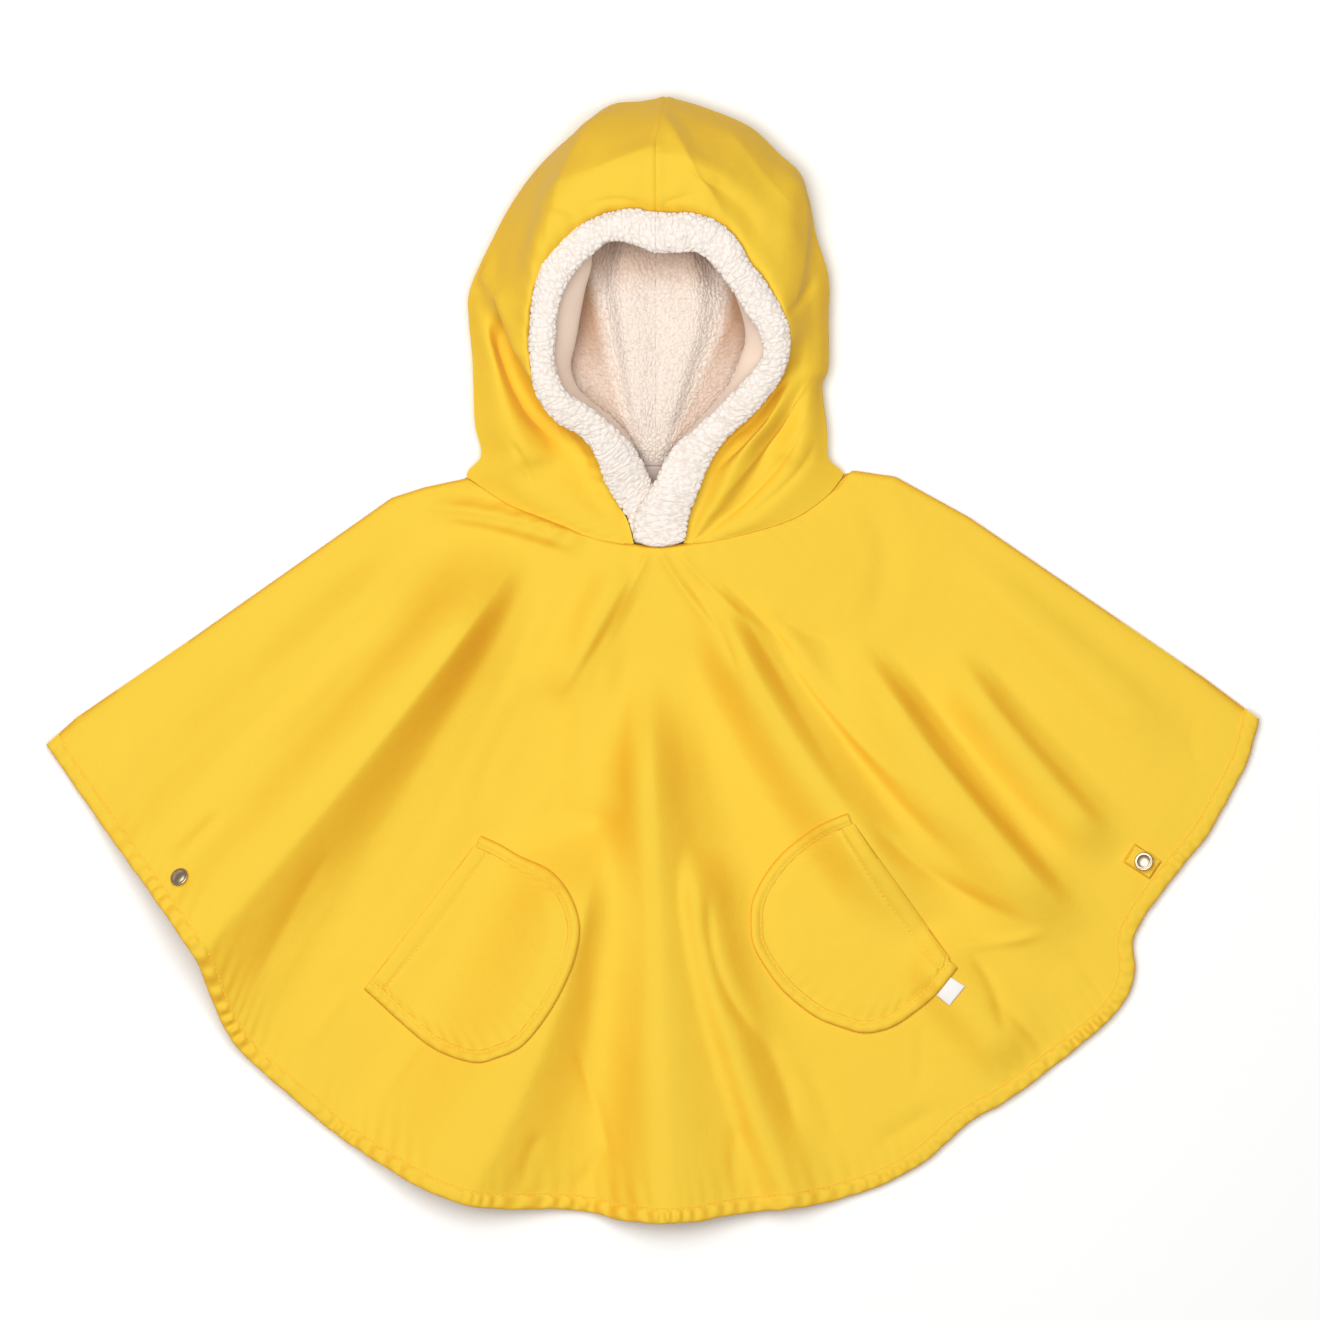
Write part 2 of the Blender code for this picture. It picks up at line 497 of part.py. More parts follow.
def make_back(look):
    """The back panel, flat on the surface."""
    u, v = panel_columns(), np.array([*SHOULDER_ROWS, *BACK_ROWS])
    half = np.abs(2 * u - 1)[:, None]
    neck_ends = np.where((u < 0.5)[:, None], (NECK_SEAM[0],), (NECK_SEAM[-1],))
    neck = neck_ends * half + np.array([[SEAM_X, BACK_NECK_Y]]) * (1 - half)
    neck = neck - np.array([[0, SEAM_GAP * 1.5]])
    outer, inward = hem_lines(u)
    hem = outer + inward * (BINDING_WIDTH + SEAM_GAP + BACK_INSET)
    left = broken_line(SHOULDER_LEFT[:-1] + (tuple(hem[0]),), v)
    right = broken_line(SHOULDER_RIGHT[:-1] + (tuple(hem[-1]),), v)
    left[0], right[0] = neck[0], neck[-1]
    left[1:] += BACK_INSET * np.array([0.6, -0.8])
    right[1:] += BACK_INSET * np.array([-0.6, -0.8])
    hem[0], hem[-1] = left[-1], right[-1]
    plan = Panel(u, v, neck, left, right, hem).plan
    level = np.zeros(plan.shape[:2])
    return wall_between(
        "back_panel", np.dstack([plan, level + PANEL_WALL]), np.dstack([plan, level]), look
    )


def make_binding(name, middle, outset, flat, look):
    """The band that binds a hem; flat gives it a level underside at the surface."""
    u = panel_columns()
    outer, inward = hem_lines(u)
    half = BINDING_WALL / 2
    profile = (
        # in from the edge, up
        (BINDING_WIDTH, half * 0.85), (BINDING_WIDTH * 0.5, half), (1.6, half * 0.8), (0.0, 0.0),
        (1.6, -half * 0.8), (BINDING_WIDTH * 0.5, -half), (BINDING_WIDTH, -half * 0.85),
    )
    rings = []
    for share, edge, way, height in zip(u, outer, inward, middle):
        ring = []
        for t, up in profile:
            if flat and up < 0:
                up = -half
            spot = edge + way * (t + outset)
            ring.append((spot[0], spot[1], height + up))
        rings.append(ring)
    return swept_band(name, rings, look)


def seam_x(y):
    """Where the hood's centre seam runs, seen from above."""
    lean = np.clip((np.asarray(y, float) - SEAM_LEAN_FROM) / (SEAM_LEAN_TO - SEAM_LEAN_FROM), 0, 1)
    return SEAM_X + SEAM_LEAN * lean


def hood_controls(rows):
    """Control points of half a hood: front columns and under columns, and the corner's row."""
    corner = next(i for i, row in enumerate(rows) if row[9] is not None)
    front, under = [], []
    for i, (out, inn, trim_z, edge, edge_z, a, b, c, d, neck) in enumerate(rows):
        out, inn, edge = (np.array(p, float) for p in (out, inn, edge))
        if neck is not None:
            edge = along(NECK_SEAM, [neck])[0] + np.array([0, NECK_SHIFT])
            edge_z = float(neck_height(neck))
        way = (inn - out) / np.linalg.norm(inn - out)
        beside = float(smooth(i, corner - 0.5, corner + 1.5))
        rim = out + way * (TRIM_TUCK * (1 - beside) - TRIM_CLEAR * beside)
        rim_z = (trim_z - TRIM_DROP) * (1 - beside) + a[1] * beside
        row = [(*rim, rim_z)]
        for share, z in (a, b, c, d):
            row.append((*(rim + (edge - rim) * share), z))
        row.append((*edge, edge_z))
        row = np.array(row)
        if i == 0:
            row[:, 0] = seam_x(row[:, 1])
        front.append(row)
        spine_y = SPINE_TOP + (BACK_NECK_Y - SPINE_TOP) * (i / corner) ** 1.1
        spine = np.array([float(seam_x(spine_y)), spine_y])
        to_spine = (spine - edge) / np.linalg.norm(spine - edge)
        floor_at = edge + to_spine * edge_z * 0.8
        low = [
            (*(edge + to_spine * 0.8), edge_z * 0.5),
            (*(edge + to_spine * edge_z * 0.35), edge_z * 0.12),
            (*floor_at, 0.0),
            (*((floor_at + spine) / 2), 0.0),
            (*spine, 0.0),
        ]
        low = np.array(low)
        if i == 0:
            low[:, 0] = seam_x(low[:, 1])
        under.append(low)
    return np.array(front), np.array(under), corner


def make_hood_half(name, rows, side, look):
    """Half of the hood's shell: over the head, round the outline and back along the floor."""
    front, under, corner = hood_controls(rows)
    last = len(rows) - 1
    rows_over = round((HOOD_ROWS - 1) * corner / last)
    shares = np.concatenate([
        np.linspace(0, corner / last, rows_over + 1),
        np.linspace(corner / last, 1, HOOD_ROWS - rows_over)[1:],
    ])
    front = curve_through(front, shares)
    under = curve_through(under, shares)
    under[..., 2] = np.maximum(under[..., 2], 0)
    on_neck = shares > corner / last - 1e-6
    neck_rows = [row[9] for row in rows[corner:]]
    neck = np.interp(shares[on_neck], np.linspace(corner / last, 1, len(neck_rows)), neck_rows)
    front[on_neck, -1, :2] = along(NECK_SEAM, neck) + np.array([0, SEAM_GAP])
    front[on_neck, -1, 2] = neck_height(neck)
    across = np.linspace(0, 1, HOOD_FRONT_COLUMNS + 1)
    front = np.swapaxes(curve_through(np.swapaxes(front, 0, 1), across), 0, 1)
    grid = np.concatenate([front, under], axis=1)
    grid[rows_over + 1 :, front.shape[1] :] = np.nan
    grid[0, :, 0] = seam_x(grid[0, :, 1])
    edge = front.shape[1] - 1
    normals = grid_normals(grid)
    if normals[2, 3, 2] < 0:
        normals = -normals
    normals[on_neck, edge] = normals[-1, : edge + 1] = (0, 0, 1)
    normals[rows_over, edge] = (side * 0.8, 0, 0.6)
    normals[0] = drop_part(normals[0], (0, 1, 1))
    normals[: rows_over + 1, -1] = (0, 0, -1)
    normals[rows_over, edge + 1 :] = drop_part(normals[rows_over, edge + 1 :], (1, 0, 1))
    grid[0, :, 0] += side * HALF_GAP
    grid[1 : rows_over + 1, -1, 0] += side * HALF_GAP
    return wall_between(name, grid, grid - normals * HOOD_WALL, look)


def make_lining_half(name, rows, side, look):
    """Half of the teddy lining: facing, cavity and the raised back of the hood."""
    controls = []
    for i, (rim, facing, cavity, back, seam_y, seam_z) in enumerate(rows):
        seam = (float(seam_x(seam_y)), seam_y, seam_z)
        swell = 0.55 * np.array(back, float) + 0.45 * np.array(seam)
        swell[2] = max(back[2], seam_z) * 0.5 + seam_z * 0.5 + (BACK_CROWN if 2 < i < 11 else 0)
        controls.append([rim, facing, cavity, back, tuple(swell), seam])
    controls = np.array(controls, float)
    grid = curve_through(controls, np.linspace(0, 1, LINING_ROWS))
    across = np.linspace(0, 1, LINING_COLUMNS + 1)
    grid = np.swapaxes(curve_through(np.swapaxes(grid, 0, 1), across), 0, 1)
    grid[0, :, 0] = SEAM_X
    grid[:, -1, 0] = SEAM_X
    normals = grid_normals(grid)
    if normals[LINING_ROWS // 2, -2, 2] < 0:
        normals = -normals
    normals[0] = drop_part(normals[0], (0, 1, 1))
    normals[:, -1] = drop_part(normals[:, -1], (0, 1, 1))
    normals[-1] = drop_part(normals[-1], (1, 0, 1))
    grid[0, :, 0] += side * HALF_GAP
    grid[1:, -1, 0] += side * HALF_GAP
    return wall_between(name, grid, grid - normals * TEDDY_WALL, look)


def make_trim_half(name, rows, side, look):
    """Half of the teddy band round the face opening, an oval in section."""
    controls = np.array([(*out, *inn, z) for out, inn, z, *rest in rows], float)
    count = round(len(rows) * 1.5)
    spots = curve_through(controls, np.linspace(0, 1, count))
    turn = np.linspace(0, 2 * math.pi, TRIM_SIDES, endpoint=False)
    rings = []
    for i, (out_x, out_y, in_x, in_y, z) in enumerate(spots):
        out, inn = np.array([out_x, out_y]), np.array([in_x, in_y])
        if i == 0:
            out[0] = inn[0] = SEAM_X + side * HALF_GAP
        share = i / (count - 1)
        half = TRIM_HALF + (TRIM_HALF_LOW - TRIM_HALF) * smooth(share, 0.7, 0.85)
        middle, reach = (out + inn) / 2, (out - inn) / 2
        rings.append([(*(middle + reach * math.cos(t)), z + half * math.sin(t)) for t in turn])
    return swept_band(name, rings, look)


def surface_under(made):
    """A function that gives the height of a solid's top face at a plan point, in millimetres."""
    tree = BVHTree.FromObject(made, bpy.context.evaluated_depsgraph_get())

    def height(spot):
        hit = tree.ray_cast(Vector((spot[0] * MM, spot[1] * MM, 1.0)), Vector((0, 0, -1)))
        return hit[0].z / MM

    return height


def heights_on(height, plan):
    """Heights for a grid of plan points, raised where a fold's crest lies between the points."""
    level = np.array([[height(spot) for spot in line] for line in plan])
    for s, t in CREST_SAMPLES:
        def between(grid, s=s, t=t):
            near = grid[:-1, :-1] * (1 - t) + grid[:-1, 1:] * t
            return near * (1 - s) + (grid[1:, :-1] * (1 - t) + grid[1:, 1:] * t) * s

        spots = between(plan)
        short = np.array([[height(spot) for spot in line] for line in spots]) - between(level)
        raised = np.zeros(level.shape)
        for corner in ((slice(None, -1), slice(None, -1)), (slice(1, None), slice(None, -1)),
                       (slice(None, -1), slice(1, None)), (slice(1, None), slice(1, None))):
            raised[corner] = np.maximum(raised[corner], short)
        level += raised
    return level


def laid_on(height, plan, lift, wall):
    """The upper and lower faces of a piece that lies on a panel."""
    under = heights_on(height, plan) + lift
    return np.dstack([plan, under + wall]), np.dstack([plan, under])


def make_pocket(name, edge, height, look):
    """A patch pocket with a straight slanted mouth, and the band round its curved edge."""
    outer = along(edge, np.linspace(0, 1, POCKET_STEPS))
    way = left_of(outer)
    middle = outer.mean(axis=0)
    way *= np.sign(np.sum(way * (middle - outer), axis=1, keepdims=True))
    profile = (
        # in from the edge, up
        (0.0, 0.5), (0.0, POCKET_BAND_WALL * 0.55), (1.8, POCKET_BAND_WALL),
        (POCKET_BAND - 1.5, POCKET_BAND_WALL * 0.9), (POCKET_BAND, POCKET_BAND_WALL * 0.6), (POCKET_BAND, 0.0),
        (1.8, 0.0),
    )
    inset, up = np.array(profile).T
    places = outer[:, None] + way[:, None] * inset[None, :, None]
    level = heights_on(height, places) + POCKET_LIFT + up
    swept_band(name + "_band", np.dstack([places, level]), look)

    curve = outer + way * (POCKET_BAND + SEAM_GAP)
    mouth = np.linspace(0, 1, len(curve))[:, None]
    start, end = outer[0] + way[0] * POCKET_BAND * 0.2, outer[-1] + way[-1] * POCKET_BAND * 0.2
    run = (end - start) / np.linalg.norm(end - start)
    out_of = np.array([run[1], -run[0]])
    out_of *= np.sign(out_of @ (start - middle))
    start, end = start + run * POCKET_BAND * 0.9, end - run * POCKET_BAND * 0.9
    line = start * (1 - mouth) + end * mouth
    steps = np.linspace(0, 1, 8)[None, :, None]
    plan = line[:, None] * (1 - steps) + curve[:, None] * steps
    upper, lower = laid_on(height, plan, POCKET_LIFT, POCKET_WALL)
    return wall_between(name, upper, lower, look)


def make_stud(name, height, spot, tilt, look):
    """A press stud's domed cap, square to the cloth under it or tilted with a fold."""
    lean = (-math.sin(tilt) * math.sqrt(0.5), math.sin(tilt) * math.sqrt(0.5), math.cos(tilt))
    axis, across, other = square_to(lean)
    rims = []
    for radius, up in STUD_PROFILE[1:3]:
        for t in np.linspace(0, 2 * math.pi, STUD_SEGMENTS, endpoint=False):
            rims.append(axis * up + (across * math.cos(t) + other * math.sin(t)) * radius)
    seat = max(height((spot[0] + rim[0], spot[1] + rim[1])) - rim[2] for rim in rims)
    return turned(name, np.array([*spot, seat + STUD_LIFT]), lean, STUD_PROFILE, look)


def square_to(axis):
    """A unit axis and two unit vectors that are square to it and to each other."""
    axis = np.array(axis, float) / np.linalg.norm(axis)
    across = np.cross(axis, (0.0, 1.0, 0.0))
    across /= np.linalg.norm(across)
    return axis, across, np.cross(axis, across)


def turned(name, base, axis, profile, look):
    """A solid of revolution from a profile of (radius, height) that starts on its axis."""
    axis, across, other = square_to(axis)
    turn = np.linspace(0, 2 * math.pi, STUD_SEGMENTS, endpoint=False)
    points = [base + axis * profile[0][1]]
    for radius, up in profile[1:-1]:
        points += [base + axis * up + (across * math.cos(t) + other * math.sin(t)) * radius for t in turn]
    points.append(base + axis * profile[-1][1])
    faces = []
    for k in range(STUD_SEGMENTS):
        after = (k + 1) % STUD_SEGMENTS
        faces.append([0, 1 + after, 1 + k])
        for ring in range(len(profile) - 3):
            a, b = 1 + ring * STUD_SEGMENTS + k, 1 + ring * STUD_SEGMENTS + after
            faces.append([a, b, b + STUD_SEGMENTS, a + STUD_SEGMENTS])
        top = 1 + (len(profile) - 3) * STUD_SEGMENTS
        faces.append([top + k, top + after, len(points) - 1])
    return add_solid(name, points, faces, look)


def make_tab(name, height, look):
    """The stitched facing under the right press stud."""
    start, end = np.array(TAB_START, float), np.array(TAB_END, float)
    run = (end - start) / np.linalg.norm(end - start)
    side = np.array([-run[1], run[0]]) * TAB_WIDTH / 2
    steps, sides = np.linspace(0, 1, 6), np.linspace(-1, 1, 4)
    plan = np.array([[start + (end - start) * t + side * k for k in sides] for t in steps])
    upper, lower = laid_on(height, plan, TAB_LIFT, TAB_WALL)
    return wall_between(name, upper, lower, look)


def make_pocket_label(name, height, look):
    """The blank folded tape at the right pocket's lower corner."""
    a, b, c, d = (np.array(p, float) for p in POCKET_LABEL)
    steps = np.linspace(0, 1, 3)
    plan = np.array([[(a * (1 - s) + b * s) * (1 - t) + (d * (1 - s) + c * s) * t for t in steps] for s in steps])
    upper, lower = laid_on(height, plan, POCKET_LIFT, LABEL_WALL)
    return wall_between(name, upper, lower, look)


def make_neck_label(name, look):
    """The blank satin tape that hangs from the back neck seam."""
    xs = np.linspace(*NECK_LABEL_X, 3)
    rows = np.linspace(0, 1, 4)
    top, bottom = np.array(NECK_LABEL_TOP), np.array(NECK_LABEL_BOTTOM)
    grid = np.array([[(x, *(top * (1 - t) + bottom * t)) for x in xs] for t in rows])
    return wall_between(name, grid + np.array([0, 0, LABEL_WALL]), grid, look)


def make_neck_lining(name, look):
    """The stretch of body lining that shows below the back neck seam."""
    across = np.linspace(-1, 1, 9)
    depth = NECK_LINING_DEPTH * np.sqrt(1 - 0.8 * across**2)
    top = BACK_NECK_Y - 1.5
    steps = np.linspace(0, 1, 4)
    plan = np.array([[(SEAM_X + x * NECK_LINING_WIDTH / 2, top - d * t) for t in steps] for x, d in zip(across, depth)])
    level = np.full(plan.shape[:2], PANEL_WALL + SEAM_GAP)
    return wall_between(name, np.dstack([plan, level + NECK_LINING_WALL]), np.dstack([plan, level]), look)


def main():
    """Build the whole garment."""
    for old in list(bpy.data.objects):
        bpy.data.objects.remove(old)
    shell = finish("coated cloth", YELLOW, 0.45)
    front = front_plan()
    front_made = make_front(front, shell)
    make_back(shell)
    hem_top = front_height(front.plan[:, -1], front.u, np.ones(len(front.u)))
    make_binding("front_binding", hem_top - PANEL_WALL / 2, 0.0, False, shell)
    make_binding("back_binding", np.full(len(front.u), BINDING_WALL / 2), BACK_INSET, True, shell)
    make_hood_half("hood_left", HOOD_LEFT, -1, shell)
    make_hood_half("hood_right", HOOD_RIGHT, 1, shell)
    teddy = finish("teddy fleece", CREAM, 0.95)
    make_lining_half("hood_lining_left", LINING_LEFT, -1, teddy)
    make_lining_half("hood_lining_right", LINING_RIGHT, 1, teddy)
    make_trim_half("trim_left", HOOD_LEFT, -1, teddy)
    make_trim_half("trim_right", HOOD_RIGHT, 1, teddy)
    on_front = surface_under(front_made)
    make_pocket("pocket_left", POCKET_LEFT_EDGE, on_front, shell)
    make_pocket("pocket_right", POCKET_RIGHT_EDGE, on_front, shell)
    tab = make_tab("stud_right_tab", on_front, shell)
    steel = finish("nickel-plated brass", STEEL, 0.25, 1.0)
    make_stud("stud_left_cap", on_front, STUD_LEFT, STUD_LEFT_TILT, steel)
    make_stud("stud_right_cap", surface_under(tab), STUD_RIGHT, 0.0, steel)
    for name, spot in (("stud_left_mate", STUD_LEFT), ("stud_right_mate", STUD_RIGHT)):
        turned(name, np.array([*spot, PANEL_WALL + SEAM_GAP]), (0, 0, 1), STUD_MATE_PROFILE, steel)
    make_pocket_label("pocket_label", on_front, finish("cotton tape", WHITE_TAPE, 0.8))
    make_neck_label("neck_label", finish("satin tape", PALE_SATIN, 0.5))
    make_neck_lining("neck_lining", finish("brushed lining", CREAM, 0.9))


main()
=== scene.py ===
"""The looks of a small child's hooded car seat poncho: coated yellow cloth, a teddy-lined hood, laid flat.

Every piece is worked out in millimetres from the same driving sizes as the solid that it stands for, and
turned to metres when its mesh is made.  +X is to the viewer's right, +Y towards the top of the hood, +Z up.
"""

import math

import bpy
import numpy as np
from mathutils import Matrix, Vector
from mathutils.bvhtree import BVHTree


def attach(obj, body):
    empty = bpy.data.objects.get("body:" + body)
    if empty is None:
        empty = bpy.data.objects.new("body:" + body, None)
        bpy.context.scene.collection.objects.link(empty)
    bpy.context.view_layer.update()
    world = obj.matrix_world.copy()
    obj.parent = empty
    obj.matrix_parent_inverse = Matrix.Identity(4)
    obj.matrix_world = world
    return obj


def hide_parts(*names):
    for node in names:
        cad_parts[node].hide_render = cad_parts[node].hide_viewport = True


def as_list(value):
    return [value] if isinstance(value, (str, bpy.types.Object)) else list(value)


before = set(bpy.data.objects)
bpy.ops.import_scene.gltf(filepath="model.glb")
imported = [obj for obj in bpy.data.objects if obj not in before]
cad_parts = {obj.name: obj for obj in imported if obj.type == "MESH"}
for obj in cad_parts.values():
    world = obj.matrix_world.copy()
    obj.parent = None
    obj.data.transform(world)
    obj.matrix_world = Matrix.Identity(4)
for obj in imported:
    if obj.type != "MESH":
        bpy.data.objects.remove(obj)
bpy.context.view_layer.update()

MM = 0.001
SEAM_GAP = 0.3  # between two pieces that are sewn together
TOUCHING = 0.02
NECK_SHIFT = 0.24  # the hood's under side starts this far back from the line of the neck seam
NECK_LAP = 1.2  # here the front runs on under the hood instead
NECK_TUCK = 1.5  # and is tucked down by this much
NECK_TUCK_REACH = 2.0
HEM_TUCK = 0.5  # the front ends this far inside its binding
LEAST_WALL = 0.5  # what is left of the cloth where a trough would go through it

# Cloth.
CLOTH_WALL = 1.2
BACK_WALL = 3.0
PANEL_WALL = 3.0  # the front and its lining together
PILE_WALL = 3.0
PATCH_WALL = 1.6
LABEL_WALL = 0.8

# Body panels.
LAYER_BASE = 8.6  # top of the front where it lies on the back
SHOULDER_TOP = 6.4
SHOULDER_MEET = 3.4  # height where the front comes down to the back along the shoulders
NECK_RISE = 8.0
ROLLED_EDGE = 0.06  # share of the width over which a shoulder rolls up to the base height
ROUNDED_EDGE = 0.012
LEVEL_FROM, LEVEL_TO = 0.8, 0.97  # shares of the way to the hem, where the shoulders come level too
NECK_FADE = 0.35
EDGE_FADE = 0.08
BACK_INSET = 1.5
BACK_EDGE_RISE = 1.3  # along the shoulders the back lifts off the floor
BINDING_WIDTH = 11.0
BINDING_WALL = 4.4

# Seam where the hood meets the front, from the left shoulder to the right one.
NECK_SEAM = (
    (-122, 120), (-94, 102), (-61, 88), (-35, 79), (-12, 75), (3, 74),
    (25, 76), (54, 81), (91, 92), (114, 107), (125, 120),
)
SHOULDER_LEFT = ((-122, 120), (-150, 114), (-172, 107), (-304, 14), (-380, -38), (-400, -56))
SHOULDER_RIGHT = ((125, 120), (132, 125), (160, 121), (209, 94), (364, -12), (400, -39))
# Outer edge of the hem: left cuff, left underarm notch, bottom, right notch, right cuff.
HEM = (
    (-400, -56), (-376, -91), (-347, -131), (-319, -170), (-302, -195), (-296, -208),
    (-290, -225), (-281, -245), (-267, -263), (-238, -288), (-206, -315), (-163, -342),
    (-135, -355), (-109, -361), (-69, -362), (-43, -364), (-21, -369), (5, -371),
    (30, -370), (50, -366), (103, -360), (129, -354), (155, -345), (182, -329),
    (208, -306), (235, -290), (261, -271), (287, -250), (303, -236), (314, -220),
    (318, -204), (317, -186), (324, -170), (343, -144), (365, -117), (380, -91),
    (393, -65), (400, -39),
)

# Folds of the front: a ridge along start, middle and end, its height, its widths to the left and
# the right of the crest at the start and at the end, how crisp its crest is from 0 to 1, and whether
# it dies out before the end.
FOLDS = (
    # start, middle, end, height, left0, left1, right0, right1, crisp, dies
    ((-136, 82), (-238, -15), (-345, -125), 11.0, 28, 66, 22, 44, 0.4, False),
    ((-84, 76), (-178, -51), (-330, -226), 38.0, 42, 110, 19, 98, 0.7, False),
    ((-62, 66), (-122, -60), (-226, -250), 4.0, 16, 30, 20, 60, 0.0, False),
    ((-10, 68), (-38, 19), (-70, -34), 8.0, 22, 28, 11, 17, 0.7, True),
    ((-30, 50), (-40, -53), (-38, -112), 5.0, 20, 26, 18, 20, 0.0, True),
    ((-36, -100), (-62, -224), (-126, -358), 28.0, 58, 104, 18, 88, 0.6, False),
    ((-5, 4), (3, -158), (12, -369), 27.0, 30, 56, 24, 106, 0.5, False),
    ((34, -120), (42, -200), (84, -330), 12.0, 14, 20, 34, 48, 0.7, False),
    ((38, 56), (95, -55), (196, -182), 19.0, 28, 48, 15, 52, 0.5, True),
    ((71, 50), (134, -46), (216, -130), 5.0, 7, 12, 14, 22, 0.6, True),
    ((128, 18), (200, -82), (288, -186), 19.0, 36, 56, 15, 30, 0.6, True),
    ((170, -180), (205, -222), (250, -270), 10.0, 24, 34, 40, 50, 0.6, True),
    ((190, 13), (249, -63), (308, -132), 13.0, 26, 38, 13, 26, 0.5, True),
    ((200, 82), (276, 13), (352, -62), 8.0, 22, 30, 15, 24, 0.3, True),
    ((-153, 101), (-97, 93), (-40, 74), 6.0, 9, 9, 9, 10, 0.6, True),
)
ROUNDED_CREST = 3.0
FOLD_STEPS = 60
FOLD_RISES_BY = 0.3  # shares of a fold's length
FOLD_DIES_FROM = 0.75

# The hood's two halves.  Each row crosses the half from the face opening to the outline:
# outer edge of the trim, inner edge of the trim, height of the trim's middle, the point on the
# outline and its height, then four heights between them as (share of the way, height).
# Rows with a neck share end on the neck seam instead, at that share of its length.
HOOD_LEFT = (
    # trim_out, trim_in, trim_z, edge, edge_z, a, b, c, d, and neck where there is one
    ((1.6, 294), (1.2, 267), 72, (9, 371), 21, (0.15, 74), (0.40, 74), (0.65, 62), (0.87, 42)),
    ((-15, 296), (-12, 272), 72, (-8, 368), 21, (0.15, 74), (0.40, 74), (0.65, 61), (0.87, 41)),
    ((-35, 292), (-27, 274), 72, (-29, 365), 21, (0.12, 73), (0.35, 72), (0.62, 60), (0.86, 40)),
    ((-52, 283), (-39, 266), 71, (-54, 345), 21, (0.12, 72), (0.30, 71), (0.50, 64), (0.80, 42)),
    ((-65, 272), (-49, 256), 69, (-74, 326), 21, (0.12, 70), (0.30, 69), (0.50, 60), (0.80, 38)),
    ((-73, 261), (-56, 246), 67, (-90, 305), 20, (0.12, 68), (0.28, 66), (0.50, 52), (0.78, 36)),
    ((-78, 243), (-62, 229), 64, (-103, 282), 20, (0.12, 65), (0.28, 61), (0.50, 48), (0.78, 33)),
    ((-81, 221), (-63, 214), 60, (-120, 245), 19, (0.12, 61), (0.30, 54), (0.52, 43), (0.75, 28)),
    ((-81, 199), (-64, 198), 56, (-121, 224), 17, (0.12, 56), (0.28, 47), (0.45, 22), (0.72, 27)),
    ((-77, 175), (-58, 178), 52, (-119, 203), 16, (0.10, 46), (0.18, 33), (0.36, 17), (0.65, 27)),
    ((-64, 157), (-45, 169), 46, (-118, 178), 15, (0.08, 30), (0.16, 19), (0.34, 15), (0.65, 28)),
    ((-48, 147), (-31, 159), 40, (-117, 155), 15, (0.08, 24), (0.16, 16), (0.34, 15), (0.65, 29)),
    ((-37, 133), (-20, 149), 34, (-113, 135), 13, (0.08, 20), (0.16, 15), (0.34, 17), (0.65, 27)),
    ((-31, 119), (-10, 135), 27, (-122, 120), 8, (0.08, 17), (0.18, 15), (0.38, 19), (0.68, 20), 0.0),
    ((-23, 106), (-3, 120), 20, (-94, 102), 12, (0.08, 15), (0.20, 15), (0.42, 19), (0.72, 18), 0.124),
    ((-16, 94), (2, 111), 15, (-61, 88), 14, (0.10, 14), (0.25, 15), (0.48, 17), (0.74, 17), 0.258),
    ((-13, 85), (6, 100), 12, (-35, 79), 16, (0.15, 14), (0.35, 15), (0.55, 16), (0.78, 16), 0.361),
    ((-11, 77), (9, 79), 10, (-16, 76), 16, (0.20, 14), (0.40, 15), (0.60, 15), (0.80, 16), 0.433),
)
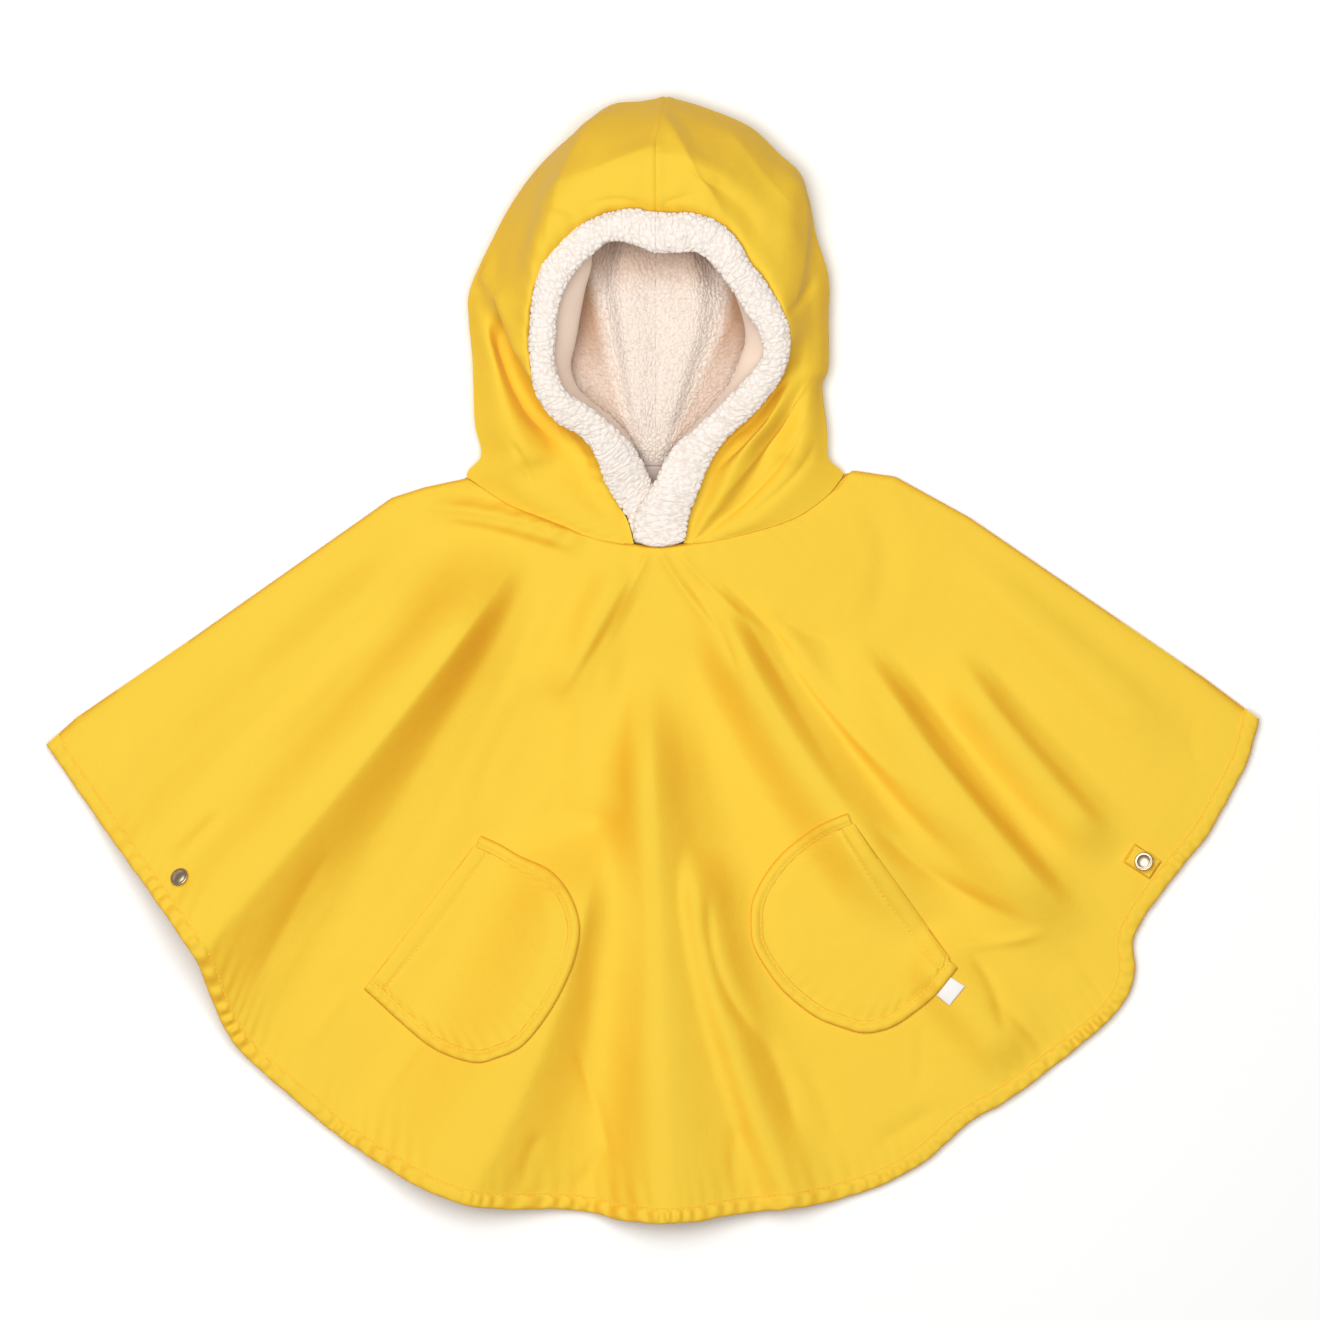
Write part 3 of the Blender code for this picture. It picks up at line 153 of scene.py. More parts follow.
HOOD_RIGHT = (
    # trim_out, trim_in, trim_z, edge, edge_z, a, b, c, d, and neck where there is one
    ((2.4, 294), (2.6, 267), 72, (9, 371), 21, (0.15, 74), (0.40, 74), (0.65, 62), (0.87, 42)),
    ((13, 294), (10, 267), 72, (25, 367), 21, (0.15, 74), (0.37, 73), (0.60, 64), (0.86, 42)),
    ((25, 294), (18, 267), 72, (45, 360), 22, (0.12, 72), (0.32, 69), (0.52, 68), (0.83, 45)),
    ((38, 290), (27, 267), 71, (61, 353), 23, (0.12, 70), (0.30, 66), (0.50, 66), (0.82, 46)),
    ((49, 283), (35, 263), 69, (71, 346), 23, (0.12, 68), (0.30, 64), (0.50, 62), (0.82, 44)),
    ((57, 274), (42, 255), 68, (84, 333), 23, (0.12, 66), (0.30, 61), (0.52, 58), (0.82, 42)),
    ((64, 261), (49, 246), 66, (97, 321), 24, (0.12, 64), (0.30, 60), (0.55, 54), (0.82, 42)),
    ((73, 251), (56, 236), 64, (103, 304), 22, (0.12, 62), (0.32, 57), (0.60, 50), (0.80, 36)),
    ((82, 236), (63, 224), 61, (108, 279), 20, (0.12, 60), (0.36, 53), (0.60, 41), (0.80, 30)),
    ((89, 221), (70, 214), 58, (116, 252), 18, (0.12, 56), (0.34, 46), (0.57, 36), (0.80, 28)),
    ((91, 208), (72, 201), 55, (116, 224), 17, (0.12, 50), (0.34, 41), (0.57, 33), (0.80, 26)),
    ((87, 190), (66, 191), 51, (116, 193), 16, (0.12, 36), (0.34, 32), (0.57, 30), (0.80, 25)),
    ((76, 172), (54, 178), 46, (112, 180), 14, (0.12, 24), (0.34, 33), (0.57, 27), (0.80, 24)),
    ((62, 157), (42, 166), 40, (115, 152), 15, (0.10, 20), (0.28, 34), (0.46, 19), (0.72, 27)),
    ((46, 143), (28, 152), 34, (116, 133), 13, (0.09, 19), (0.26, 32), (0.43, 17), (0.70, 27)),
    ((35, 127), (13, 138), 30, (125, 120), 8, (0.08, 18), (0.22, 27), (0.38, 16), (0.66, 22), 1.0),
    ((28, 109), (2, 116), 27, (97, 96), 12, (0.08, 17), (0.22, 22), (0.38, 15), (0.66, 19), 0.86),
    ((23, 96), (-8, 100), 23.5, (68, 84), 14, (0.10, 16), (0.25, 19), (0.42, 15), (0.70, 18), 0.745),
    ((21, 84), (-11, 87), 20.5, (41, 78), 16, (0.15, 15), (0.32, 16), (0.50, 15), (0.75, 16), 0.645),
    ((19, 77), (-11, 76.5), 19.2, (25, 76), 16, (0.20, 15), (0.40, 15), (0.60, 15), (0.80, 16), 0.598),
)
SEAM_X = 2.0  # the centre seam runs straight, then leans towards the peak
SEAM_LEAN = 7.0
SEAM_LEAN_FROM = 340.0
SEAM_LEAN_TO = 371.0
SPINE_TOP = 342.0  # the back seam on the floor, from under the peak to the back neck
BACK_NECK_Y = 129.0
SPINE_SPREAD = 1.1  # above 1 the rows meet it closer together near its top
UNDER_EDGE = (0.8, 0.5)  # below its outline the shell turns in this far at this share of the height,
TURN_LOW = (0.35, 0.12)  # then by the first share of the height at the second,
TURN_FLOOR = 0.8  # and by this share of it on the floor
HOOD_LOW, HOOD_HIGH = 12, 34  # heights between which the hood stands up
HOOD_EDGE_FADE = 12  # in columns
TRIM_TUCK = 3.0  # the shell's edge lies this far in under the trim
TRIM_DROP = 6.0
TRIM_CLEAR = 1.4  # near the point of the V it lies beside the trim instead
TRIM_HALF = 5.0
TRIM_HALF_LOW = 4.2
TRIM_LOW_FROM, TRIM_LOW_TO = 0.7, 0.85  # shares of its length
TRIM_ROUNDS_FROM = 0.962  # share of its length
TRIM_OVERLAP = 2.2  # its ends run this far on over the front's neck seam
TRIM_FLUFF = 0.12  # its low part is this much wider
TRIM_FLUFF_FROM, TRIM_FLUFF_TO = 0.66, 0.8
TRIM_WIDE, TRIM_HIGH = 0.96, 0.9  # its core, as shares of the whole: the curls fill the rest
TRIM_UNEVEN = 0.7
TRIM_ENDS_FROM = 0.9
TRIM_END_RISE = 0.4  # of the overlap
TRIM_SINK, KNOT_SINK = 0.7, 0.5  # shares of a curl and a knot that lie below the core's surface
TRIM_CURL = 4.2  # its curls are looser than the lining's
TRIM_CURL_HEIGHT = 1.5
TRIM_KNOT = 2.0
# the curls and the knots are painted paler than the gaps between them: painted shade in the gaps
TRIM_CURL_PALE, TRIM_KNOT_PALE = 0.7, 0.3

# The teddy lining, from the face opening into the hood: under the trim, lower edge of the smooth
# facing, deepest part of the cavity, edge of the raised back, then the centre seam's y and height.
LINING_LEFT = (
    # rim, facing, cavity, back, seam_y, seam_z
    ((0, 269, 62.8), (0, 289, 55), (0, 346, 34), (0, 337, 12), 314, 16),
    ((-12, 273, 62.8), (-14, 294, 55), (-21, 343, 32), (-15, 327, 12), 294, 20),
    ((-25, 275, 62.8), (-29, 290, 54), (-48, 327, 30), (-29, 294, 13), 274, 23),
    ((-37, 270, 61.8), (-41, 277, 53), (-71, 300, 28), (-37, 267, 14), 257, 25),
    ((-48, 260, 61.8), (-42, 258, 44), (-81, 271, 24), (-39, 248, 15), 241, 26),
    ((-56, 248, 60.8), (-45, 244, 40), (-82, 244, 20), (-36, 231, 16), 228, 27),
    ((-63, 231, 57.8), (-48, 226, 36), (-81, 221, 18), (-33, 214, 17), 214, 27),
    ((-65, 213, 53.8), (-51, 209, 33), (-74, 205, 16), (-30, 199, 17), 201, 27),
    ((-65, 196, 49.8), (-54, 194, 30), (-64, 188, 14), (-27, 185, 17), 188, 26),
    ((-60, 178, 45.8), (-50, 180, 27), (-51, 175, 13), (-23, 172, 17), 175, 25),
    ((-47, 168, 40.8), (-40, 170, 25), (-39, 166, 13), (-19, 158, 16), 162, 23),
    ((-33, 158, 34.8), (-27, 160, 22), (-27, 156, 12), (-14, 148, 14), 148, 20),
    ((-21, 147, 28.8), (-17, 149, 18), (-17, 146, 11), (-10, 140, 12), 139, 16),
    ((-12, 137, 21.8), (-10, 137, 14), (-9, 135, 10), (-6, 132, 9.5), 130, 9.5),
)
LINING_RIGHT = (
    # rim, facing, cavity, back, seam_y, seam_z
    ((2, 269, 62.8), (2, 289, 55), (2, 346, 34), (2, 337, 12), 314, 16),
    ((15, 269, 62.8), (17, 292, 55), (25, 343, 33), (18, 327, 12), 294, 20),
    ((28, 269, 62.8), (31, 287, 54), (54, 327, 32), (33, 294, 13), 274, 23),
    ((37, 265, 61.8), (42, 274, 52), (78, 300, 30), (42, 271, 14), 257, 25),
    ((45, 255, 61.8), (49, 260, 48), (87, 271, 26), (47, 251, 15), 241, 26),
    ((53, 245, 60.8), (55, 246, 44), (92, 248, 22), (49, 238, 16), 228, 27),
    ((60, 233, 57.8), (60, 230, 38), (91, 228, 19), (47, 221, 17), 214, 27),
    ((70, 217, 53.8), (61, 211, 34), (81, 208, 16), (41, 207, 17), 201, 27),
    ((74, 201, 49.8), (58, 200, 31), (69, 190, 14), (35, 193, 17), 188, 26),
    ((68, 191, 45.8), (54, 189, 28), (56, 183, 13), (29, 180, 17), 175, 25),
    ((56, 177, 40.8), (47, 177, 26), (46, 173, 13), (24, 168, 16), 162, 23),
    ((41, 162, 34.8), (35, 163, 23), (34, 160, 12), (18, 156, 14), 148, 20),
    ((27, 149, 28.8), (22, 149, 19), (22, 146, 11), (13, 143, 12), 139, 16),
    ((14, 137, 22.8), (11, 136, 15), (10, 134, 10), (8, 132, 9.5), 130, 9.5),
)
BACK_CROWN = 3.0  # the raised back swells this much on each side of its seam
CROWNED_ROWS = range(3, 11)
SWELL_AT = 0.55  # and this far from the seam to its edge
FACING_UNEVEN = 0.5
UNDER_BROW = (232.0, 270.0)  # y where the brow's shade begins and where it is full
BROW_SHADE = 0.6
LOW_TO_HIGH = (180.0, 232.0)  # y over which the painted shade in the side hollows deepens
LOW_SHADE = 0.45
DEEPEST_SHADE = 0.85
LINING_PALE, CURL_PALE, KNOT_PALE = 0.4, 0.45, 0.15  # what the ground, the curls and the knots add to how pale the pile is painted; the rest is painted shade
LINING_SHADE = (
    # share of the way from the face opening to the centre seam, how much of the light is lost there
    (0.2, 0.1), (0.38, 0.6), (0.46, 1.0), (0.575, 1.0), (0.61, 0.3), (0.65, 0.0), (1.0, 0.0),
)

# Pockets: the straight mouth's two ends and the curved edge between them.
POCKET_BAND = 8.0
POCKET_LIFT = 0.8
POCKET_LEFT_EDGE = (
    (-113, -116), (-100, -122), (-88, -129), (-67, -139), (-54, -155), (-48, -174), (-50, -193),
    (-58, -214), (-70, -235), (-86, -254), (-103, -262), (-116, -265), (-133, -261), (-149, -253),
    (-167, -238), (-181, -225), (-190, -217),
)
POCKET_RIGHT_EDGE = (
    (128, -101), (116, -106), (105, -112), (87, -126), (74, -142), (66, -159), (65, -176),
    (67, -189), (76, -205), (88, -220), (107, -235), (124, -242), (140, -246), (158, -242),
    (176, -230), (188, -219), (201, -203),
)
POCKET_PROFILE = (
    # in from the edge, up
    (0.0, 0.2), (0.0, 1.0), (0.5, 2.0), (1.6, 2.7), (3.2, 3.1), (4.8, 2.9), (5.8, 2.4), (6.4, 2.15),
    (7.0, 2.15), (7.6, 2.1), (8.2, 1.6), (8.2, 0.2), (4.0, 0.0),
)
POCKET_STITCH_RING = 7
PATCH_LAP = 1.0  # the patch runs on under the band, so that no gap shows
PATCH_PUFF = 0.9  # how far the mouth's stitching draws the patch in
MOUTH_AT, MOUTH_INSET = 0.2, 0.9  # where the mouth starts, down and along it, in widths of the band
THREAD_LIFT = 0.05
POCKET_LABEL = ((196.5, -209), (206, -215), (195.5, -228), (187, -221))

# Press studs and the small facings they are set in.
STUD_LEFT = (-311, -143)
STUD_RIGHT = (324, -133)
CAP_PROFILE = (
    # radius, height: a rolled rim, a shallow groove inside it and a low dome
    (0.0, 0.0), (5.2, 0.0), (5.9, 0.15), (6.25, 0.6), (6.25, 1.0), (6.05, 1.4), (5.6, 1.62), (5.1, 1.55),
    (4.75, 1.38), (4.4, 1.5), (3.6, 1.95), (2.4, 2.28), (1.2, 2.4), (0.0, 2.42),
)
CAP_SEGMENTS = 64
CAP_RIM = (6.25, 0.6)  # the widest part of it, which comes to within
CAP_SEAT = 0.2  # this distance of the cloth
STUD_LEFT_TILT = 0.65  # radians, away from the middle of the garment
STUD_RIGHT_TILT = 0.28
TAB_LIFT = 0.6
TAB_START = (314, -127)
TAB_END = (331.5, -138.5)
TAB_WIDTH = 14.0
TAB_WALL = 1.0
TAB_CUT = (23.0, 7.0)  # its length and half its width, with the thread drawn in
TAB_STITCH_IN = 1.6
TAB_STITCH, TAB_STITCH_GAP = 2.2, 0.5

NECK_LABEL_X = (-6.0, 8.0)
NECK_LABEL_TOP = (131.6, 9.0)
NECK_LABEL_BOTTOM = (118.0, 5.2)
NECK_LINING_WIDTH = 48.0
NECK_LINING_DEPTH = 20.0
NECK_LINING_WALL = 1.5
NECK_FOLD = 0.6  # the label's folded edge stands this high, with a groove below it
NECK_FOLD_GROOVE = 0.5
LABEL_STEPS = 25

# Smaller creases of the front, laid over its folds: a line by its start, middle and end, its height
# (a trough below 0), its width on the left and on the right, and how sharp its line is, from 0 to 1.
FRONT_CREASES = (
    # start, middle, end, height, left, right, sharp
    ((-281, -99), (-299, -116), (-318, -135), 2.2, 9, 8, 0.6),
    ((-206, -117), (-238, -168), (-268, -227), -2.0, 14, 18, 0.6),
    ((0, 68), (-29, 21), (-65, -36), -1.5, 12, 10, 0.8),
    ((0, 82), (-12, 50), (-34, 12), 2.4, 9, 16, 1.0),
    ((0, 82), (18, 50), (54, 6), 2.6, 12, 12, 1.0),
    ((10, 82), (40, 46), (84, 12), 1.6, 8, 9, 1.0),
    ((-53, -244), (-39, -290), (-25, -339), -2.0, 9, 9, 0.9),
    ((38, -141), (44, -205), (78, -256), -4.5, 20, 11, 0.8),
    ((66, -240), (86, -277), (98, -330), -3.0, 24, 12, 0.6),
    ((12, 66), (42, 23), (58, -16), -1.8, 9, 9, 0.8),
    ((36, 62), (76, 22), (100, -10), -1.8, 10, 8, 0.7),
    ((60, 46), (118, -34), (177, -92), 2.0, 12, 7, 0.9),
    ((39, 66), (92, -26), (140, -107), -1.6, 14, 12, 0.5),
    ((134, 112), (154, 66), (134, 7), -2.2, 16, 20, 0.2),
    ((78, 34), (98, 20), (130, 10), -2.2, 12, 12, 0.5),
    ((130, 2), (220, -93), (291, -173), -1.6, 16, 14, 0.5),
    ((204, -3), (257, -59), (315, -123), -1.4, 14, 12, 0.5),
    ((223, 79), (283, 26), (357, -38), -1.8, 16, 12, 0.4),
    ((268, 62), (300, 32), (340, -10), 1.4, 12, 10, 0.5),
    ((140, -102), (190, -145), (262, -180), -3.2, 18, 10, 0.6),
    ((196, -188), (232, -186), (262, -178), 2.4, 8, 8, 0.8),
    ((206, -190), (225, -218), (232, -258), -2.6, 9, 12, 0.8),
    ((224, -218), (250, -246), (275, -262), -2.4, 12, 10, 0.6),
    ((270, -192), (288, -206), (300, -226), -1.4, 10, 10, 0.4),
    ((175, -232), (178, -262), (172, -290), -1.2, 9, 9, 0.4),
    ((190, -294), (168, -308), (144, -322), -2.0, 12, 12, 0.5),
    ((366, -22), (356, -52), (368, -78), -1.8, 8, 8, 0.8),
    ((-161, 96), (-104, 92), (-34, 72), -1.8, 8, 8, 0.6),
    ((-167, 104), (-153, 98), (-136, 92), -1.6, 8, 8, 0.5),
    ((-148, -246), (-166, -268), (-182, -292), -1.2, 9, 9, 0.5),
    ((-200, -212), (-216, -238), (-236, -262), 1.2, 10, 10, 0.4),
    ((-70, -310), (-82, -328), (-84, -352), -2.0, 9, 10, 0.7),
    ((-30, -318), (-40, -336), (-52, -350), -1.8, 8, 9, 0.7),
    ((60, -300), (54, -326), (58, -352), -1.6, 10, 10, 0.5),
    ((-190, 20), (-236, -32), (-290, -74), -1.0, 12, 12, 0.3),
    ((-80, -20), (-104, -60), (-120, -110), -1.2, 14, 14, 0.3),
    ((-60, -60), (-70, -90), (-92, -108), 1.0, 10, 10, 0.3),
    ((96, -262), (112, -290), (120, -326), -1.0, 10, 10, 0.4),
)
HOOD_CREASES = (
    # start, middle, end, height, left, right, sharp
    ((-24, 372), (-55, 313), (-80, 236), 8.0, 36, 34, 0.9),
    ((14, 336), (-26, 325), (-82, 292), 3.8, 24, 30, 1.0),
    ((-8, 330), (24, 326), (62, 308), 1.8, 16, 20, 1.0),
    ((-116, 272), (-98, 228), (-76, 172), 4.8, 26, 10, 1.0),
    ((-105, 246), (-89, 193), (-56, 142), -9.0, 17, 6, 0.9),
    ((-126, 250), (-112, 244), (-98, 240), -2.2, 6, 8, 0.9),
    ((-101, 238), (-81, 172), (-35, 119), -1.4, 12, 10, 0.4),
    ((2, 366), (23, 327), (54, 282), 6.4, 32, 24, 1.0),
    ((92, 336), (99, 284), (90, 214), 3.8, 30, 12, 1.0),
    ((110, 256), (98, 236), (84, 222), -3.2, 10, 6, 0.9),
    ((40, 362), (74, 318), (100, 288), 1.2, 14, 18, 1.0),
    ((-71, 296), (-56, 294), (-41, 290), -1.6, 6, 6, 0.8),
    ((-46, 296), (-26, 302), (-6, 298), -1.2, 6, 6, 0.8),
    ((6, 298), (18, 303), (32, 305), -1.4, 6, 6, 0.8),
    ((108, 192), (78, 150), (36, 96), 3.4, 12, 26, 1.0),
    ((96, 184), (66, 152), (40, 122), -3.6, 9, 8, 0.9),
    ((104, 160), (74, 118), (30, 80), -2.6, 9, 7, 1.0),
    ((107, 146), (91, 118), (40, 78), -1.8, 8, 7, 1.0),
    ((-96, 146), (-84, 128), (-78, 108), -2.0, 9, 7, 1.0),
    ((-118, 148), (-112, 138), (-106, 130), -1.4, 6, 6, 0.9),
    ((-24, 108), (-20, 96), (-16, 84), -1.6, 7, 7, 0.7),
)
CREASE_STEPS = 40
BACK_CREASES = (
    # start, middle, end, height, left, right, sharp
    ((-30, 60), (-60, -120), (-140, -300), 0.7, 16, 16, 0.5),
    ((20, 60), (30, -150), (10, -330), 0.6, 20, 20, 0.3),
    ((40, 50), (120, -80), (210, -240), 0.7, 18, 14, 0.5),
    ((-70, 60), (-190, -40), (-290, -150), 0.7, 14, 18, 0.5),
    ((100, 60), (220, -10), (320, -90), 0.6, 16, 16, 0.4),
    ((-140, 70), (-240, 20), (-340, -50), 0.5, 14, 14, 0.4),
)

# Puckers where the cloth is stitched: (height, length of one wave, how far they reach in).
HEM_PUCKER = (0.8, 11.0, 13.0)
NECK_PUCKER = (0.5, 13.0, 14.0)
RIM_PUCKER = (0.8, 14.0, 16.0)
POCKET_PUCKER = (0.45, 11.0, 10.0)
STITCH_FADE = 3  # they rise over this distance from the stitching
CRUMPLE_FADE = 20  # and the cloth's own unevenness over this one from the hem
PUCKER_DRIFT = 0.9  # how unevenly the waves are spaced, in waves
PUCKER_SLANT = 0.12
PUCKER_MEAN, PUCKER_SPREAD = 0.62, 0.6  # how strong they are
SEAM_RIDGE = 0.7
RIDGE_AT, RIDGE_WIDTH = 2.6, 2.0  # on both sides of the hood's centre seam
GROOVE_DEPTH, GROOVE_WIDTH = 0.8, 0.7  # between them, its depth as a share of the ridge
TROUGH_LOW, TROUGH_MORE = 1.6, 7.5  # deepest crease where the hood lies low, and more where it stands
CRUMPLES = ((0.55, 55.0), (0.25, 22.0), (0.10, 9.0))  # (height, size) of the cloth's own unevenness

# Teddy pile: curls of wool, and the smaller knots on them.
CURL = 2.8
CURL_HEIGHT = 1.2
CURL_SINK = 0.8  # the share of it that lies below the pile's middle surface
TUFT_EDGE = 0.5  # the rounded edge's share of a tuft
TUFT_BEND = 0.38  # how far the rows of tufts are bent, and
TUFT_SCATTER = 0.42  # how far each tuft lies off its row, in tufts
KNOT = 1.5
KNOT_HEIGHT = 0.4
PILE_SHADE_ATTRIBUTE = "pile_shade"  # the mesh attribute that says how pale a point of the pile is painted: painted shade in its gaps and hollows, paler on the tips

# Thread, and one stitch of it that dips into the cloth at its ends.
STITCH = 3.0
STITCH_GAP = 0.7
THREAD = 0.26
STITCH_SIDES = 6
STITCH_SHAPE = (
    # share of the stitch, thickness and lift, both in threads
    (0.0, 0.35, -0.9), (0.12, 0.9, 0.1), (0.35, 1.0, 0.7),
    (0.65, 1.0, 0.7), (0.88, 0.9, 0.1), (1.0, 0.35, -0.9),
)
STITCH_IN = 9.6  # how far the hem's stitching lies in from its edge
MOUTH_STITCH_IN = 12.0

# The rolled band round a hem, in section.
HEM_PROFILE = (
    # millimetres in from the edge, share of the band's half thickness
    (11.0, 0.80), (10.5, 0.86), (10.0, 0.74), (9.6, 0.64), (9.2, 0.74), (8.4, 0.98), (6.8, 1.06),
    (4.8, 1.04), (2.8, 0.94), (1.3, 0.74), (0.4, 0.42), (0.0, 0.0), (0.4, -0.42), (1.3, -0.76),
    (4.8, -1.0), (9.0, -1.0), (11.0, -0.80),
)
STITCH_RING = 3  # the place in the profile where the stitching lies
HEM_WOBBLE = 0.35  # how unevenly the band is folded
HEM_PUFF = 1.5  # its puckers, as a share of the panel's

# How fine each piece is.
FRONT_EDGE_COLUMNS, FRONT_MIDDLE_COLUMNS = 8, 384
FRONT_NECK_ROWS = (0.0, 0.0012, 0.0024, 0.004, 0.007)
FRONT_FINE_ROWS = 179
UNDER_STRIDE = 4
BACK_EDGE_COLUMNS, BACK_MIDDLE_COLUMNS, BACK_ROWS = 4, 120, 81
SHOULDER_SHARE = 0.02  # of the width, over which the columns lie closer together
HEM_STATIONS = 1200
HOOD_FINE_ROWS, HOOD_FINE_FRONT, HOOD_FINE_UNDER = 150, 96, 24
LINING_FINE_ROWS, PILE_COLUMNS, FACING_COLUMNS = 232, 200, 12
TRIM_STATIONS, TRIM_AROUND = 860, 60
POCKET_STATIONS, PATCH_ROWS = 181, 60

# The looks, in sRGB.
CLOTH_UV = "cloth"
WAVE = 2 * math.pi / 20  # a wave texture's scale for one band in each unit
PILE_GLOW = 1.2  # how far light spreads inside the pile
WEAVE = 0.5  # mm from thread to thread, twice the real spacing, so that it shows in a close view
# The scales of the noises, in lumps to the metre.
TONES = 14.0  # the cloth's tone drifts over 70 mm
RUMPLES = 110.0  # 9 mm from one slight crumple to the next
FIBRES = 1400.0  # 0.7 mm: the curled fibres of the pile, thicker than they are, so that they show
FUZZ = 900.0  # 1.1 mm: the jersey's raised fuzz, also drawn coarse
TWIST = 2500.0  # 0.4 mm: the thread's twist
WEAR = 900.0  # 1.1 mm: the dull spots of handling on the nickel
CLOTH_YELLOW = "EBC43B"
CLOTH_DEEP = "E8C036"
CLOTH_STEEP_SHADE = "ECB022"  # painted shade: where it turns away from the eye it is tinted a deeper orange, for light that has met more cloth
THREAD_YELLOW = "EDC94A"
# Cream at the pile's tips and tan in its gaps: the tan is painted shade.
FLEECE_TIP = "F3EAE2"
FLEECE_GAP_SHADE = "D6C5B4"
# the lining's tan is painted shade, in its gaps and its hollows
LINING_TIP = "EDE0D4"
LINING_PAINTED_SHADE = "B07F57"
FACING_PALE = "F6E0CD"
FACING_DEEP = "EFD5BF"
# the satin label's cream, darkened as painted shade for the shade it lies in inside the hood
SATIN_SHADED = "C4B1A6"
TAPE = "EFEBE6"
# warm grey: partly the nickel's own tint, partly a painted reflection of the yellow cloth round the studs
NICKEL_AND_REFLECTION = "BFAF97"
FLOOR_WHITE = "F6F6F5"

# A white room, and one large soft lamp high on the left, in metres and watts.
FILL = 0.12
LAMP_PLACE = (-0.30, 0.24, 3.1)
LAMP_SIZE = 2.4
LAMP_POWER = 120.5

# The photograph's frame: its width on the surface, its middle, and a camera far above it.
FRAME_WIDTH = 871.2
FRAME_MIDDLE = (4.95, 0.0)
CAMERA_HEIGHT = 11000.0
SENSOR = 36.0


def smooth(x, low=0.0, high=1.0):
    """0 below low, 1 above high, and an even S between them."""
    t = np.clip((np.asarray(x, float) - low) / (high - low), 0, 1)
    return t * t * (3 - 2 * t)


def evenly(count):
    """Shares from 0 to 1, at even steps."""
    return np.linspace(0, 1, count)


def size_of(vectors):
    """The lengths of the vectors in an array."""
    return np.linalg.norm(vectors, axis=-1)


def unit(vectors):
    """The vectors at unit length."""
    return vectors / np.maximum(size_of(vectors)[..., None], 1e-9)


def curve_through(points, shares):
    """Points on a Catmull-Rom curve, at shares of the way counted in rows of the list."""
    p = np.asarray(points, float)
    p = np.concatenate([[2 * p[0] - p[1]], p, [2 * p[-1] - p[-2]]])
    where = np.asarray(shares, float) * (len(p) - 3)
    i = np.minimum(where.astype(int), len(p) - 4)
    t = (where - i).reshape((-1,) + (1,) * (p.ndim - 1))
    a, b, c, d = p[i], p[i + 1], p[i + 2], p[i + 3]
    return 0.5 * (2 * b + (c - a) * t + (2 * a - 5 * b + 4 * c - d) * t**2 + (3 * b - a - 3 * c + d) * t**3)


def curve_across(grid, shares):
    """Points on such curves along the second axis of a grid of points."""
    return np.swapaxes(curve_through(np.swapaxes(grid, 0, 1), shares), 0, 1)


def reach_of(points):
    """How far along a line each of its points lies."""
    steps = size_of(np.diff(points, axis=0))
    return np.concatenate([[0], np.cumsum(steps)])


def at_lengths(points, lengths):
    """Points on a broken line, at lengths along it."""
    p = np.asarray(points, float)
    reach = reach_of(p)
    return np.stack([np.interp(lengths, reach, p[:, k]) for k in range(p.shape[1])], axis=-1)


def along(points, shares):
    """Points on a curve through the points, at shares of its length."""
    fine = curve_through(points, evenly(40 * len(points)))
    return at_lengths(fine, np.asarray(shares) * reach_of(fine)[-1])


def broken_line(points, shares):
    """Points on a line with corners, at shares of its length."""
    p = np.asarray(points, float)
    return at_lengths(p, np.asarray(shares) * reach_of(p)[-1])


def left_of(line):
    """Unit vectors square to a plan line, on the left of its direction."""
    run = unit(np.gradient(np.asarray(line, float), axis=0))
    return np.stack([-run[:, 1], run[:, 0]], axis=-1)


def hashed(key, seed):
    """A steady value from -1 to 1 for each whole-numbered key."""
    mixed = np.full(key.shape[:-1], seed * 1013904223 + 12345, np.uint64)
    for axis, prime in zip(range(key.shape[-1]), (374761393, 668265263, 2246822519)):
        mixed = (mixed ^ (key[..., axis].astype(np.uint64) * np.uint64(prime))) & np.uint64(0xFFFFFFFF)
        mixed = (mixed * np.uint64(2654435761)) & np.uint64(0xFFFFFFFF)
        mixed = mixed ^ (mixed >> np.uint64(15))
    return mixed.astype(float) / 2**31 - 1


def soft_noise(points, size, seed=0):
    """Even noise from -1 to 1 whose lumps are about size across."""
    p = np.asarray(points, float) / size
    whole = np.floor(p).astype(np.int64)
    part = p - whole
    part = part * part * (3 - 2 * part)
    total = 0.0
    for corner in np.ndindex((2,) * p.shape[-1]):
        weight = np.prod(np.where(np.array(corner) == 1, part, 1 - part), axis=-1)
        total = total + weight * hashed(whole + np.array(corner), seed)
    return total


def uneven_along(lengths, size, seed, beside=0.0):
    """Even noise along a line, or along another one beside it."""
    return soft_noise(np.stack([lengths, np.full_like(lengths, beside)], axis=-1), size, seed)


def tufts(points, size, seed):
    """Round tufts about size across: 1 at their tips, 0 in the gaps between them."""
    p = np.asarray(points, float) / size
    bend = np.stack([soft_noise(p, 1.3, seed + k) for k in (11, 12, 13)], axis=-1)
    p = p + TUFT_BEND * bend
    whole = np.floor(p).astype(np.int64)
    first = second = np.full(p.shape[:-1], 9.0)
    for corner in np.ndindex((3, 3, 3)):
        key = whole + np.array(corner) - 1
        middle = key + 0.5 + TUFT_SCATTER * np.stack([hashed(key, seed + k) for k in (1, 2, 3)], axis=-1)
        away = size_of(p - middle)
        second = np.minimum(second, np.maximum(first, away))
        first = np.minimum(first, away)
    inside = np.clip((second - first) / TUFT_EDGE, 0, 1)
    return np.sqrt(inside * (2 - inside))


def crumple(points):
    """The uneven lie of the coated cloth."""
    return sum(height * soft_noise(points, size, 40 + k) for k, (height, size) in enumerate(CRUMPLES))


